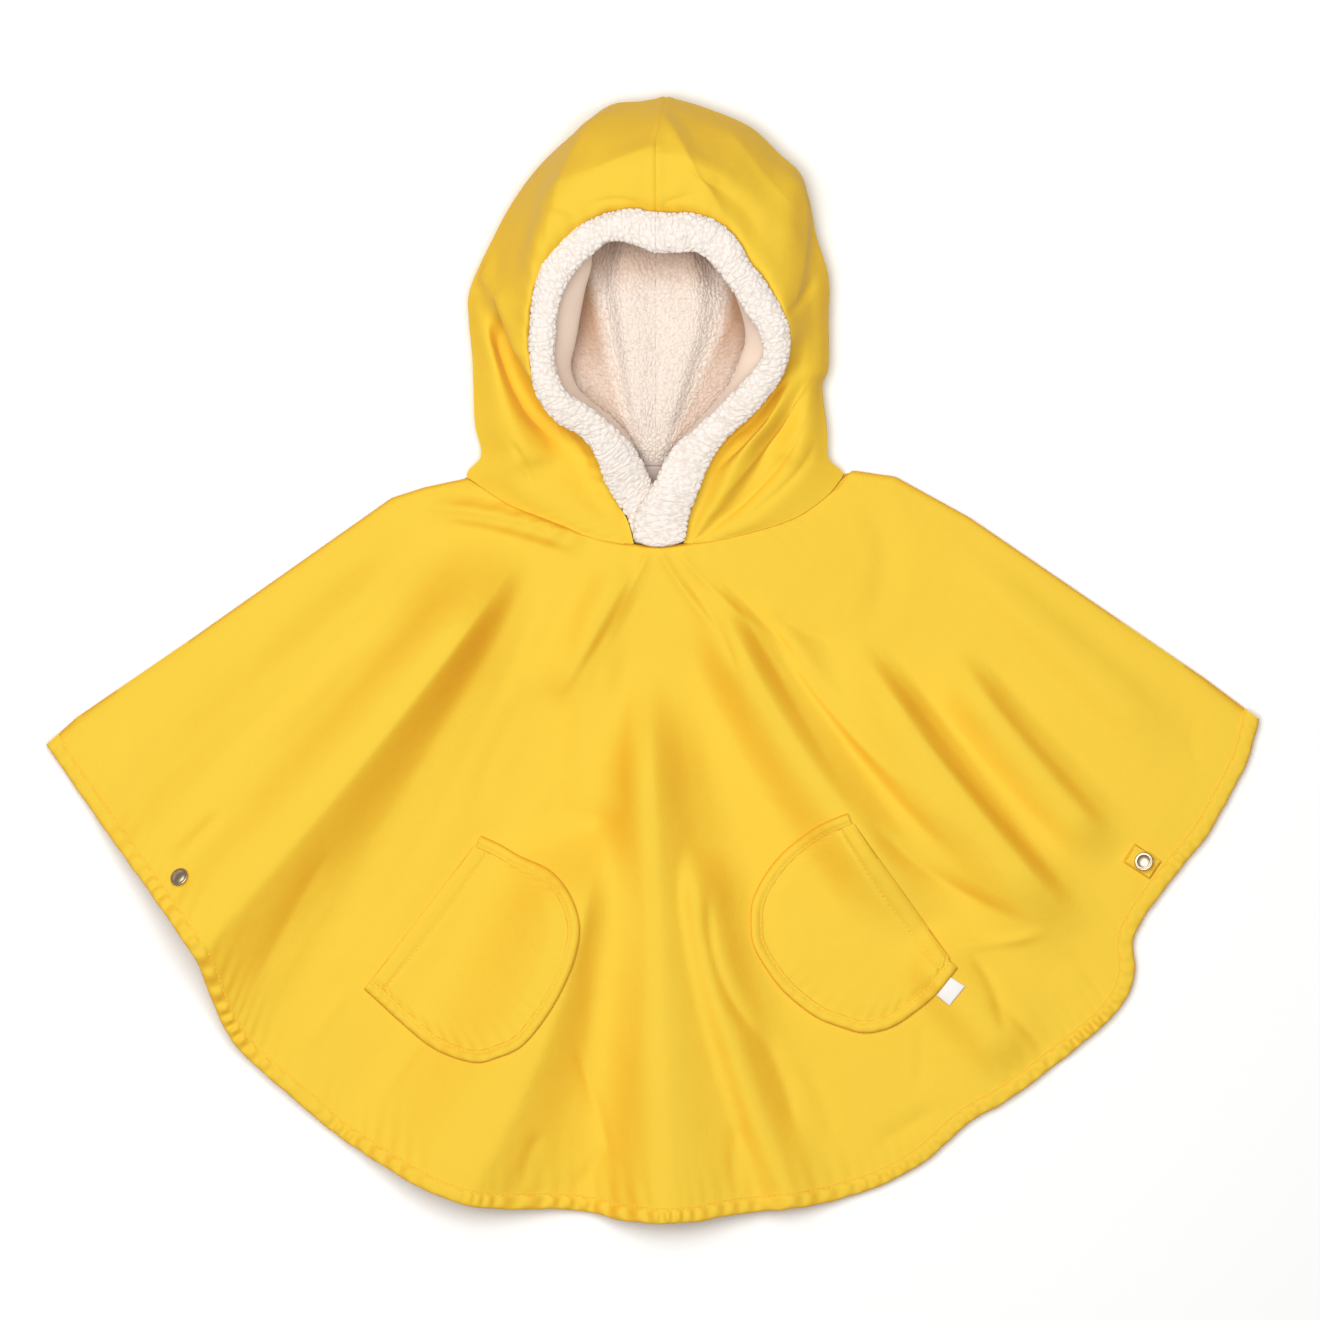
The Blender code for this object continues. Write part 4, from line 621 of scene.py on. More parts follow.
def pucker(lengths, away, wave, seed=0):
    """Short waves across a line of stitching, uneven, dying out away from it."""
    height, period, reach = wave
    drift = PUCKER_DRIFT * uneven_along(lengths, 3.1 * period, seed)
    phase = lengths / period + drift + PUCKER_SLANT * away / period
    strength = PUCKER_MEAN + PUCKER_SPREAD * uneven_along(lengths, 5.3 * period, seed + 1)
    return height * strength * np.sin(2 * math.pi * phase) * np.exp(-np.abs(away) / reach)


def nearest_on(plan, start, middle, end, steps):
    """For plan points: distance to a bent line run on straight, share of its length, and their side of it."""
    start, middle, end = (np.array(p, float) for p in (start, middle, end))
    t = evenly(steps)[:, None]
    bend = 2 * middle - (start + end) / 2
    line = (1 - t) ** 2 * start + 2 * t * (1 - t) * bend + t**2 * end
    away = plan[..., None, :] - line
    near = (away**2).sum(axis=-1).argmin(axis=-1)
    run = np.gradient(line, axis=0)[near]
    offset = plan - line[near]
    ahead = (run * offset).sum(axis=-1) / (run**2).sum(axis=-1)
    low, high = np.where(near == 0, -math.inf, -0.5), np.where(near == steps - 1, math.inf, 0.5)
    ahead = np.clip(ahead, low, high)
    share = np.clip((near + ahead) / (steps - 1), 0, 1)
    offset = offset - run * ahead[..., None]
    side = run[..., 0] * offset[..., 1] - run[..., 1] * offset[..., 0]
    return size_of(offset), share, side


def ridge_profile(x, crisp):
    """How much of a ridge's height is left at x, a share of its width: round on top, or nearly an edge."""
    x = np.clip(x, 0, 1)
    near = np.clip(2 * x, 0, 1)
    steep = 0.5 * (1 - near) ** 2 * (1 + 0.6 * near) + 0.5 * (1 - x) ** 2 * (1 + 0.6 * x)
    return (1 - crisp) * (0.5 + 0.5 * np.cos(math.pi * x)) + crisp * steep


def fold_height(plan):
    """How much the folds raise the front above its base, at plan points."""
    total = np.zeros(plan.shape[:-1])
    for start, middle, end, height, left0, left1, right0, right1, crisp, dies in FOLDS:
        distance, share, side = nearest_on(plan, start, middle, end, FOLD_STEPS)
        distance = np.sqrt(distance**2 + ROUNDED_CREST**2) - ROUNDED_CREST
        width = np.where(side > 0, right0 + (right1 - right0) * share, left0 + (left1 - left0) * share)
        ends = smooth(share, 0, FOLD_RISES_BY) * (1 - smooth(share, FOLD_DIES_FROM, 1.0) if dies else 1.0)
        total += height * ridge_profile(distance / width, np.where(side > 0, crisp, 0)) * ends
    return total


def crease_height(plan, creases):
    """The height that creases add at plan points."""
    flat = plan.reshape(-1, 2)
    total = np.zeros(len(flat))
    for start, middle, end, height, left, right, sharp in creases:
        ends = np.array([start, middle, end], float)
        wide = max(left, right)
        inside = np.all((flat > ends.min(axis=0) - wide) & (flat < ends.max(axis=0) + wide), axis=1)
        if not inside.any():
            continue
        distance, share, side = nearest_on(flat[inside], start, middle, end, CREASE_STEPS)
        profile = ridge_profile(distance / np.where(side > 0, right, left), sharp)
        total[inside] += height * profile * smooth(share, 0, 0.3) * (1 - smooth(share, 0.65, 1))
    return total.reshape(plan.shape[:-1])


def neck_height(share):
    """Height of the neck seam at a share of its length."""
    return LAYER_BASE + NECK_RISE * np.sin(math.pi * np.clip(share, 0, 1)) ** 0.8


def hem_lines(u):
    """Outer edge of the hem and the way in from it, at shares u."""
    outer = along(HEM, u)
    inward = left_of(along(HEM, evenly(241)))
    inward = np.stack([np.interp(u, evenly(241), inward[:, k]) for k in range(2)], axis=-1)
    for end, shoulder, weight in (
        (0, SHOULDER_LEFT, 1 - smooth(u, 0, 0.03)),
        (-1, SHOULDER_RIGHT, smooth(u, 0.97, 1)),
    ):
        way = unit(np.subtract(shoulder[-2], shoulder[-1]).astype(float))
        way /= max(float(way @ inward[end]), 0.5)
        inward = inward * (1 - weight[:, None]) + way * weight[:, None]
    return outer, inward


def coons(u, v, neck, left, right, hem):
    """A plan patch between four lines: u runs along the neck and the hem, v from neck to hem."""
    neck, hem = neck[:, None], hem[:, None]
    left, right = left[None], right[None]
    uu, vv = u[:, None, None], v[None, :, None]
    corners = (
        (1 - uu) * (1 - vv) * neck[:1] + uu * (1 - vv) * neck[-1:]
        + (1 - uu) * vv * hem[:1] + uu * vv * hem[-1:]
    )
    return (1 - uu) * left + uu * right + (1 - vv) * neck + vv * hem - corners


def panel_plan(u, v, neck, reach, inset=0.0):
    """A body panel's plan: from its neck to a line that lies reach inside the hem, its shoulders set in."""
    outer, inward = hem_lines(u)
    hem = outer + inward * reach
    left = broken_line(SHOULDER_LEFT[:-1] + (tuple(hem[0]),), v)
    right = broken_line(SHOULDER_RIGHT[:-1] + (tuple(hem[-1]),), v)
    left[0], right[0] = neck[0], neck[-1]
    left[1:] += inset * np.array([0.6, -0.8])
    right[1:] += inset * np.array([-0.6, -0.8])
    hem[0], hem[-1] = left[-1], right[-1]
    return coons(u, v, neck, left, right, hem)


def front_plan(u, v):
    """The front panel's plan, up to its binding."""
    neck = along(NECK_SEAM, u)
    return panel_plan(u, v, neck + left_of(neck) * NECK_LAP, BINDING_WIDTH - HEM_TUCK)


def front_form(plan, u, v):
    """Height of the front's outer face with its folds and creases."""
    edge = np.minimum(u, 1 - u)
    rolled = np.maximum(smooth(edge, 0.0, ROLLED_EDGE), smooth(v, LEVEL_FROM, LEVEL_TO))
    base = SHOULDER_TOP + (LAYER_BASE - SHOULDER_TOP) * rolled
    neck = (neck_height(u) - LAYER_BASE) * (1 - smooth(v, 0.0, NECK_FADE))
    folds = (fold_height(plan) + crease_height(plan, FRONT_CREASES)) * smooth(edge, 0.0, EDGE_FADE)
    return base + neck + folds


def front_height(plan, u, v):
    """Height of the front's outer face, down to its puckers and its own unevenness."""
    edge = np.minimum(u, 1 - u)
    neck_length = reach_of(along(NECK_SEAM, evenly(100)))[-1]
    hem_length = reach_of(along(HEM, evenly(400)))[-1]
    to_neck, to_hem = size_of(plan - plan[:, :1]), size_of(plan - plan[:, -1:])
    at_neck = pucker(u * neck_length, to_neck, NECK_PUCKER, 3) * smooth(to_neck, 0, STITCH_FADE)
    at_hem = pucker(u * hem_length, to_hem, HEM_PUCKER, 5) * smooth(to_hem, 0, STITCH_FADE)
    puckers = (at_neck + at_hem) * smooth(edge, 0.0, SHOULDER_SHARE)
    uneven = crumple(plan) * smooth(to_hem, 0, CRUMPLE_FADE) * smooth(edge, 0.0, 0.03)
    tucked = NECK_TUCK * (1 - smooth(to_neck, 0, NECK_TUCK_REACH))
    top = front_form(plan, u, v) + puckers + uneven - tucked
    round_off = 1 - np.clip(edge / ROUNDED_EDGE, 0, 1)
    return SHOULDER_MEET + (top - SHOULDER_MEET) * np.sqrt(1 - round_off**2)


def new_mesh(name, points, faces, look, uv=None, pile_shade=None, crisp=55.0):
    """A named object from points in millimetres, smooth but for its crisp edges."""
    points = np.asarray(points) * MM
    mesh = bpy.data.meshes.new(name)
    mesh.from_pydata(points.tolist(), [], faces)
    mesh.calc_loop_triangles()
    corners = np.zeros(len(mesh.loop_triangles) * 3, np.int32)
    mesh.loop_triangles.foreach_get("vertices", corners)
    a, b, c = np.swapaxes(points[corners].reshape(-1, 3, 3), 0, 1)
    if np.sum(a * np.cross(b, c)) < 0:
        mesh.flip_normals()
    mesh.materials.append(look)
    if uv is not None:
        layer = mesh.uv_layers.new(name=CLOTH_UV)
        corner = np.zeros(len(mesh.loops), np.int32)
        mesh.loops.foreach_get("vertex_index", corner)
        layer.data.foreach_set("uv", np.asarray(uv, np.float32)[corner].ravel())
    if pile_shade is not None:
        layer = mesh.attributes.new(PILE_SHADE_ATTRIBUTE, "FLOAT", "POINT")
        layer.data.foreach_set("value", np.asarray(pile_shade, np.float32).ravel())
    mesh.shade_smooth()
    mesh.set_sharp_from_angle(angle=math.radians(crisp))
    mesh.validate()
    made = bpy.data.objects.new(name, mesh)
    bpy.context.collection.objects.link(made)
    return made


def quads(index):
    """The four corners of each cell of a grid of point numbers."""
    cells = np.stack([index[:-1, :-1], index[1:, :-1], index[1:, 1:], index[:-1, 1:]], axis=-1)
    return cells.reshape(-1, 4)


def tube_faces(count, around):
    """The faces of a tube of rings, closed at both ends."""
    index = np.arange(count * around).reshape(count, around)
    cells = quads(np.concatenate([index, index[:, :1]], axis=1)).tolist()
    return cells + [index[0].tolist(), index[-1][::-1].tolist()]


def grid_uv(grid):
    """A grid's own lengths along both of its directions, in millimetres, for the weave to follow."""
    down, over = (
        np.concatenate([[0], np.cumsum(np.nanmean(size_of(np.diff(grid, axis=axis)), axis=1 - axis))])
        for axis in (0, 1)
    )
    return np.stack(np.broadcast_arrays(down[:, None], over[None, :]), axis=-1)


def skin(name, top, under, stride, look, pile_shade=None):
    """A closed thin sheet: a fine upper face, a coarse lower one with every stride-th point, and its rim."""
    under = under[::stride, ::stride]
    rows, columns = top.shape[:2]
    low_rows, low_columns = under.shape[:2]
    upper = np.arange(rows * columns).reshape(rows, columns)
    lower = upper.size + np.arange(low_rows * low_columns).reshape(low_rows, low_columns)
    rim = []
    for fine, coarse in (
        (upper[:, 0], lower[:, 0]), (upper[-1], lower[-1]),
        (upper[::-1, -1], lower[::-1, -1]), (upper[0, ::-1], lower[0, ::-1]),
    ):
        for k in range(len(coarse) - 1):
            run = [int(i) for i in fine[k * stride : (k + 1) * stride + 1]]
            rim.append(run[::-1] + [int(coarse[k]), int(coarse[k + 1])])
    faces = quads(upper).tolist() + quads(lower)[:, ::-1].tolist() + rim
    points = np.concatenate([top.reshape(-1, 3), under.reshape(-1, 3)])
    uv = grid_uv(top)
    uv = np.concatenate([uv.reshape(-1, 2), uv[::stride, ::stride].reshape(-1, 2)])
    if pile_shade is not None:
        pile_shade = np.concatenate([pile_shade.ravel(), np.zeros(lower.size)])
    return new_mesh(name, points, faces, look, uv, pile_shade)


def tube(name, rings, look, pile_shade=None, crisp=55.0):
    """A closed solid from rings of points, one ring for each station."""
    steps = size_of(np.diff(rings, axis=1))
    over = np.concatenate([np.zeros((len(rings), 1)), np.cumsum(steps, axis=1)], axis=1)
    down = np.broadcast_to(reach_of(rings.mean(axis=1))[:, None], over.shape)
    uv = np.stack([down, over], axis=-1).reshape(-1, 2)
    return new_mesh(name, rings.reshape(-1, 3), tube_faces(*over.shape), look, uv, pile_shade, crisp)


def moved(grid, axis, shift):
    """A grid moved some cells along an axis, with its own values kept at the end that would run empty."""
    out = np.roll(grid, shift, axis)
    kept = [slice(None)] * grid.ndim
    kept[axis] = slice(0, shift) if shift > 0 else slice(shift, None)
    out[tuple(kept)] = grid[tuple(kept)]
    return out


def lowest_near(height, reach):
    """The lowest of a grid's heights within reach cells of each of them."""
    for axis in (0, 1):
        near = [moved(height, axis, shift) for shift in range(-reach, reach + 1) if shift]
        height = np.minimum(height, np.min(near, axis=0))
    return height


def grid_normals(grid):
    """Unit normals of a grid of points; missing points stay missing."""
    def slope(axis):
        ahead, behind = moved(grid, axis, -1), moved(grid, axis, 1)
        return np.where(np.isnan(ahead), grid, ahead) - np.where(np.isnan(behind), grid, behind)

    return unit(np.cross(slope(0), slope(1)))


def drop_part(normals, keep):
    """Normals with some of their axes dropped, at unit length again."""
    return unit(normals * np.array(keep, float))


def seam_x(y):
    """Where the hood's centre seam runs, seen from above."""
    lean = np.clip((np.asarray(y, float) - SEAM_LEAN_FROM) / (SEAM_LEAN_TO - SEAM_LEAN_FROM), 0, 1)
    return SEAM_X + SEAM_LEAN * lean


def add(tree, kind, settings=None, links=None):
    """Add a node with its settings, by socket or property name, and its links."""
    made = tree.nodes.new(kind)
    for key, value in (settings or {}).items():
        if isinstance(key, str) and hasattr(made, key):
            setattr(made, key, value)
        else:
            made.inputs[key].default_value = value
    for socket, source in (links or {}).items():
        tree.links.new(source, made.inputs[socket])
    return made


def linear(hex_colour):
    """The linear RGBA of an sRGB hex colour."""
    parts = [int(hex_colour[i : i + 2], 16) / 255 for i in (0, 2, 4)]
    return [c / 12.92 if c <= 0.04045 else ((c + 0.055) / 1.055) ** 2.4 for c in parts] + [1.0]


def material(name, **settings):
    """A new material, its node tree and its principled shader, whose sockets are set by name."""
    made = bpy.data.materials.new(name)
    made.use_nodes = True
    shader = made.node_tree.nodes["Principled BSDF"]
    for socket, value in settings.items():
        shader.inputs[socket.replace("_", " ")].default_value = value
    return made, made.node_tree, shader


def fine_relief(tree, shader, grain, strength, depth):
    """Cover a piece in fine relief from a noise that is fixed to it, and give back the noise."""
    place = add(tree, "ShaderNodeTexCoord").outputs["Object"]
    texture = add(tree, "ShaderNodeTexNoise", grain, {"Vector": place}).outputs[0]
    bump = add(tree, "ShaderNodeBump", {"Strength": strength, "Distance": depth}, {"Height": texture})
    tree.links.new(bump.outputs[0], shader.inputs["Normal"])
    return texture


def coated_cloth(name, steep_shade):
    """Plain-woven polyester under a thin soft coating: nearly matt, with an even grain, faint crumples, and
    painted shade in a deeper orange on its steep sides.
    """
    made, tree, shader = material(
        name, Roughness=0.78, Specular_IOR_Level=0.25, Sheen_Weight=0.12, Sheen_Roughness=0.4
    )
    place = add(tree, "ShaderNodeTexCoord").outputs["Object"]
    broad = {"Scale": TONES, "Detail": 3.0, "Roughness": 0.5}
    broad = add(tree, "ShaderNodeTexNoise", broad, {"Vector": place}).outputs[0]
    # painted shade: the more a face turns from the eye, the more of the deeper orange it is given
    slope = add(tree, "ShaderNodeLayerWeight", {"Blend": 0.5}).outputs["Facing"]
    steep = {"From Min": 0.05, "From Max": 0.45, "To Max": steep_shade}
    steep = add(tree, "ShaderNodeMapRange", steep, {"Value": slope}).outputs[0]
    tones = {"data_type": "RGBA", 6: linear(CLOTH_DEEP), 7: linear(CLOTH_YELLOW)}
    plain = add(tree, "ShaderNodeMix", tones, {0: broad}).outputs[2]
    turned = add(tree, "ShaderNodeMix", {"data_type": "RGBA", 7: linear(CLOTH_STEEP_SHADE)}, {0: steep, 6: plain})
    tree.links.new(turned.outputs[2], shader.inputs["Base Color"])
    uv = add(tree, "ShaderNodeUVMap", {"uv_map": CLOTH_UV}).outputs[0]
    warp, weft = (
        add(tree, "ShaderNodeTexWave", {"bands_direction": way, "Scale": WAVE / WEAVE}, {"Vector": uv})
        for way in "XY"
    )
    woven = {0: warp.outputs[1], 1: weft.outputs[1]}
    weave = add(tree, "ShaderNodeMath", {"operation": "MAXIMUM"}, woven).outputs[0]
    grain = add(tree, "ShaderNodeBump", {"Strength": 0.25, "Distance": 0.00005}, {"Height": weave}).outputs[0]
    crumples = {"Scale": RUMPLES, "Detail": 4.0, "Roughness": 0.55}
    crumples = add(tree, "ShaderNodeTexNoise", crumples, {"Vector": place}).outputs[0]
    both = {"Height": crumples, "Normal": grain}
    both = add(tree, "ShaderNodeBump", {"Strength": 0.6, "Distance": 0.0006}, both).outputs[0]
    tree.links.new(both, shader.inputs["Normal"])
    return made


def teddy_fleece(name, gap, tip):
    """Knitted pile of curled polyester wool: matt, cream at the tips of the curls, tan in the gaps, where the
    tan is painted shade.
    """
    made, tree, shader = material(
        name, Roughness=0.95, Sheen_Weight=0.2, Sheen_Roughness=0.5,
        Subsurface_Weight=0.4, Subsurface_Radius=(1.0, 0.85, 0.7), Subsurface_Scale=PILE_GLOW * MM,
    )
    # painted shade: the attribute mixes in the gap's tan where the pile lies deep
    pile_shade = add(tree, "ShaderNodeAttribute", {"attribute_name": PILE_SHADE_ATTRIBUTE}).outputs["Fac"]
    curled = add(tree, "ShaderNodeMapRange", {"From Min": 0.0, "From Max": 0.85}, {"Value": pile_shade}).outputs[0]
    tones = {"data_type": "RGBA", 6: linear(gap), 7: linear(tip)}
    tone = add(tree, "ShaderNodeMix", tones, {0: curled}).outputs[2]
    tree.links.new(tone, shader.inputs["Base Color"])
    fine_relief(tree, shader, {"Scale": FIBRES, "Detail": 3.0, "Roughness": 0.7}, 0.7, 0.0004)
    return made


def brushed_lining(name, hex_colour):
    """Smooth brushed jersey: matt, with a faint fuzz."""
    made, tree, shader = material(name, Roughness=0.9, Sheen_Weight=0.25)
    fuzz = fine_relief(tree, shader, {"Scale": FUZZ, "Detail": 4.0, "Roughness": 0.6}, 0.3, 0.0002)
    tones = {"data_type": "RGBA", 6: linear(FACING_DEEP), 7: linear(hex_colour)}
    tone = add(tree, "ShaderNodeMix", tones, {0: fuzz}).outputs[2]
    tree.links.new(tone, shader.inputs["Base Color"])
    return made


def woven_tape(name, hex_colour, roughness, rib):
    """Narrow woven tape: fine ribs across it, every rib one thread of the weft."""
    made, tree, shader = material(name, Roughness=roughness, Base_Color=linear(hex_colour))
    uv = add(tree, "ShaderNodeUVMap", {"uv_map": CLOTH_UV}).outputs[0]
    ribs = add(tree, "ShaderNodeTexWave", {"bands_direction": "X", "Scale": WAVE / rib}, {"Vector": uv})
    bump = add(tree, "ShaderNodeBump", {"Strength": 0.5, "Distance": 0.0001}, {"Height": ribs.outputs[1]})
    tree.links.new(bump.outputs[0], shader.inputs["Normal"])
    return made


def polyester_thread():
    """Twisted sewing thread: a little deeper than the cloth, with the twist as fine ridges."""
    made, tree, shader = material("polyester_thread", Roughness=0.55, Base_Color=linear(THREAD_YELLOW))
    fine_relief(tree, shader, {"Scale": TWIST, "Detail": 1.0}, 0.4, 0.0001)
    return made


def nickel_plate():
    """Pressed brass with bright nickel on it: a grey mirror, slightly dulled by handling, whose warm tint is
    partly the nickel's own and partly a painted reflection of the yellow cloth.
    """
    made, tree, shader = material(
        "nickel_plated_brass", Roughness=0.42, Metallic=1.0, Base_Color=linear(NICKEL_AND_REFLECTION)
    )
    fine_relief(tree, shader, {"Scale": WEAR, "Detail": 4.0}, 0.08, 0.0001)
    return made


CLOTH = coated_cloth("coated_polyester", 1.0)  # full painted shade on its steep sides: deep folds lie against more cloth
HOOD_CLOTH = coated_cloth("coated_polyester_hood", 0.45)  # a copy with less painted shade on its steep sides: the stuffed hood stands in the open
FLEECE = teddy_fleece("teddy_fleece", FLEECE_GAP_SHADE, FLEECE_TIP)
LINING = teddy_fleece("teddy_lining", LINING_PAINTED_SHADE, LINING_TIP)
FACING = brushed_lining("brushed_jersey", FACING_PALE)
THREAD_LOOK = polyester_thread()
METAL = nickel_plate()
COTTON = woven_tape("cotton_tape", TAPE, 0.8, 0.6)
SATIN_TAPE = woven_tape("satin_tape", SATIN_SHADED, 0.45, 0.4)


def dress(piece, slot, *nodes):
    """Let a finished piece ride on the body and stand for its solids; the slot argument is not used."""
    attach(piece, "root")
    if nodes:
        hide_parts(*nodes)
    return piece


def laid(name, plan, top, under, stride, look, slot, node):
    """A finished thin sheet over a plan, from the heights of its two faces."""
    made = skin(name, np.dstack([plan, top]), np.dstack([plan, under]), stride, look)
    return dress(made, slot, node)


def edge_spaced(edge_count, middle_count):
    """Shares from 0 to 1, closer together at both ends."""
    first = np.linspace(0, SHOULDER_SHARE, edge_count + 1)[:-1]
    middle = np.linspace(SHOULDER_SHARE, 1 - SHOULDER_SHARE, middle_count + 1)
    return np.concatenate([first, middle, 1 - first[::-1]])


def make_front():
    """The front panel, one thin sheet with every fold, crease and pucker."""
    u = edge_spaced(FRONT_EDGE_COLUMNS, FRONT_MIDDLE_COLUMNS)
    v = np.concatenate([FRONT_NECK_ROWS, np.linspace(0.01, 1, FRONT_FINE_ROWS + 1)])
    plan = front_plan(u, v)
    uu = np.broadcast_to(u[:, None], plan.shape[:2])
    vv = np.broadcast_to(v[None, :], plan.shape[:2])
    top = front_height(plan, uu, vv)
    floor = BACK_WALL + SEAM_GAP
    top = np.maximum(top, floor + LEAST_WALL)
    under = np.maximum(lowest_near(top, UNDER_STRIDE) - CLOTH_WALL, floor)
    return laid("front_cloth", plan, top, under, UNDER_STRIDE, CLOTH, "shell_cloth", "front_panel")


def make_back():
    """The back panel, flat but for the shallow creases of its outer face, which lies on the floor."""
    u = edge_spaced(BACK_EDGE_COLUMNS, BACK_MIDDLE_COLUMNS)
    v = evenly(BACK_ROWS)
    half = np.abs(2 * u - 1)[:, None]
    neck_ends = np.where((u < 0.5)[:, None], (NECK_SEAM[0],), (NECK_SEAM[-1],))
    neck = neck_ends * half + np.array([[SEAM_X, BACK_NECK_Y]]) * (1 - half)
    neck = neck - np.array([[0, SEAM_GAP * 1.5]])
    plan = panel_plan(u, v, neck, BINDING_WIDTH + SEAM_GAP + BACK_INSET, BACK_INSET)
    inside = np.clip(np.minimum(u, 1 - u)[:, None] / ROUNDED_EDGE, 0, 1)
    under = BACK_EDGE_RISE * (1 - inside) ** 2 + crease_height(plan, BACK_CREASES) * inside
    top = np.full(plan.shape[:2], BACK_WALL)
    return laid("back_cloth", plan, under, top, 4, CLOTH, "shell_cloth", "back_panel")


def front_hem_middle():
    """Height of the middle of the front's hem, all along it."""
    u = evenly(HEM_STATIONS)
    plan = front_plan(u, np.array([0.0, 1.0]))[:, -1]
    return front_form(plan, u, np.ones(HEM_STATIONS)) - PANEL_WALL / 2


def make_hem(name, node, middle, outset, flat):
    """The rolled band round a hem, puckered by its stitching, and the rings of points it is made of."""
    u = evenly(HEM_STATIONS)
    outer, inward = hem_lines(u)
    length = reach_of(outer)
    wobble = HEM_WOBBLE * uneven_along(length, 9.0, 21)
    half = BINDING_WALL / 2
    rings = np.zeros((len(u), len(HEM_PROFILE), 3))
    for k, (inside, up) in enumerate(HEM_PROFILE):
        puff = math.sin(math.pi * min(inside / STITCH_IN, 1.0)) if up > 0 else 0.0
        lift = HEM_PUFF * puff * pucker(length, np.zeros_like(length), HEM_PUCKER, 5)
        lift += HEM_WOBBLE * puff * uneven_along(length, 6.0, 23, inside)
        height = -half if flat and up < -0.7 else up * half
        shift = inside + outset + wobble * (1 - inside / BINDING_WIDTH)
        rings[:, k, :2] = outer + inward * shift[:, None]
        rings[:, k, 2] = middle + height + lift
    made = tube(name, rings, CLOTH)
    return dress(made, "shell_cloth", node), rings


def stitches(name, path, length=STITCH, gap=STITCH_GAP):
    """One joined mesh of stitches along a path, each one dipping into the cloth at its ends."""
    reach = reach_of(path)
    count = int(reach[-1] // (length + gap))
    starts = np.arange(count) * reach[-1] / count
    share, thick, lift = (np.array(column) for column in zip(*STITCH_SHAPE))
    where = (starts[:, None] + share * length).ravel()
    spots = at_lengths(path, where).reshape(count, len(share), 3)
    run = at_lengths(path, np.minimum(where + 0.2, reach[-1])) - at_lengths(path, np.maximum(where - 0.2, 0))
    run = unit(run).reshape(count, len(share), 3)
    across = unit(np.cross(run, (0.0, 0.0, 1.0)))
    up = np.cross(across, run)
    turn = np.linspace(0, 2 * math.pi, STITCH_SIDES, endpoint=False)
    thick, lift = thick[None, :, None, None] * THREAD, lift[None, :, None, None] * THREAD
    ring = across[:, :, None] * np.cos(turn)[:, None] + up[:, :, None] * np.sin(turn)[:, None]
    points = spots[:, :, None] + up[:, :, None] * lift + ring * thick
    one = tube_faces(len(share), STITCH_SIDES)
    size = len(share) * STITCH_SIDES
    faces = [[corner + k * size for corner in face] for k in range(count) for face in one]
    return dress(new_mesh(name, points.reshape(-1, 3), faces, THREAD_LOOK), "shell_cloth")


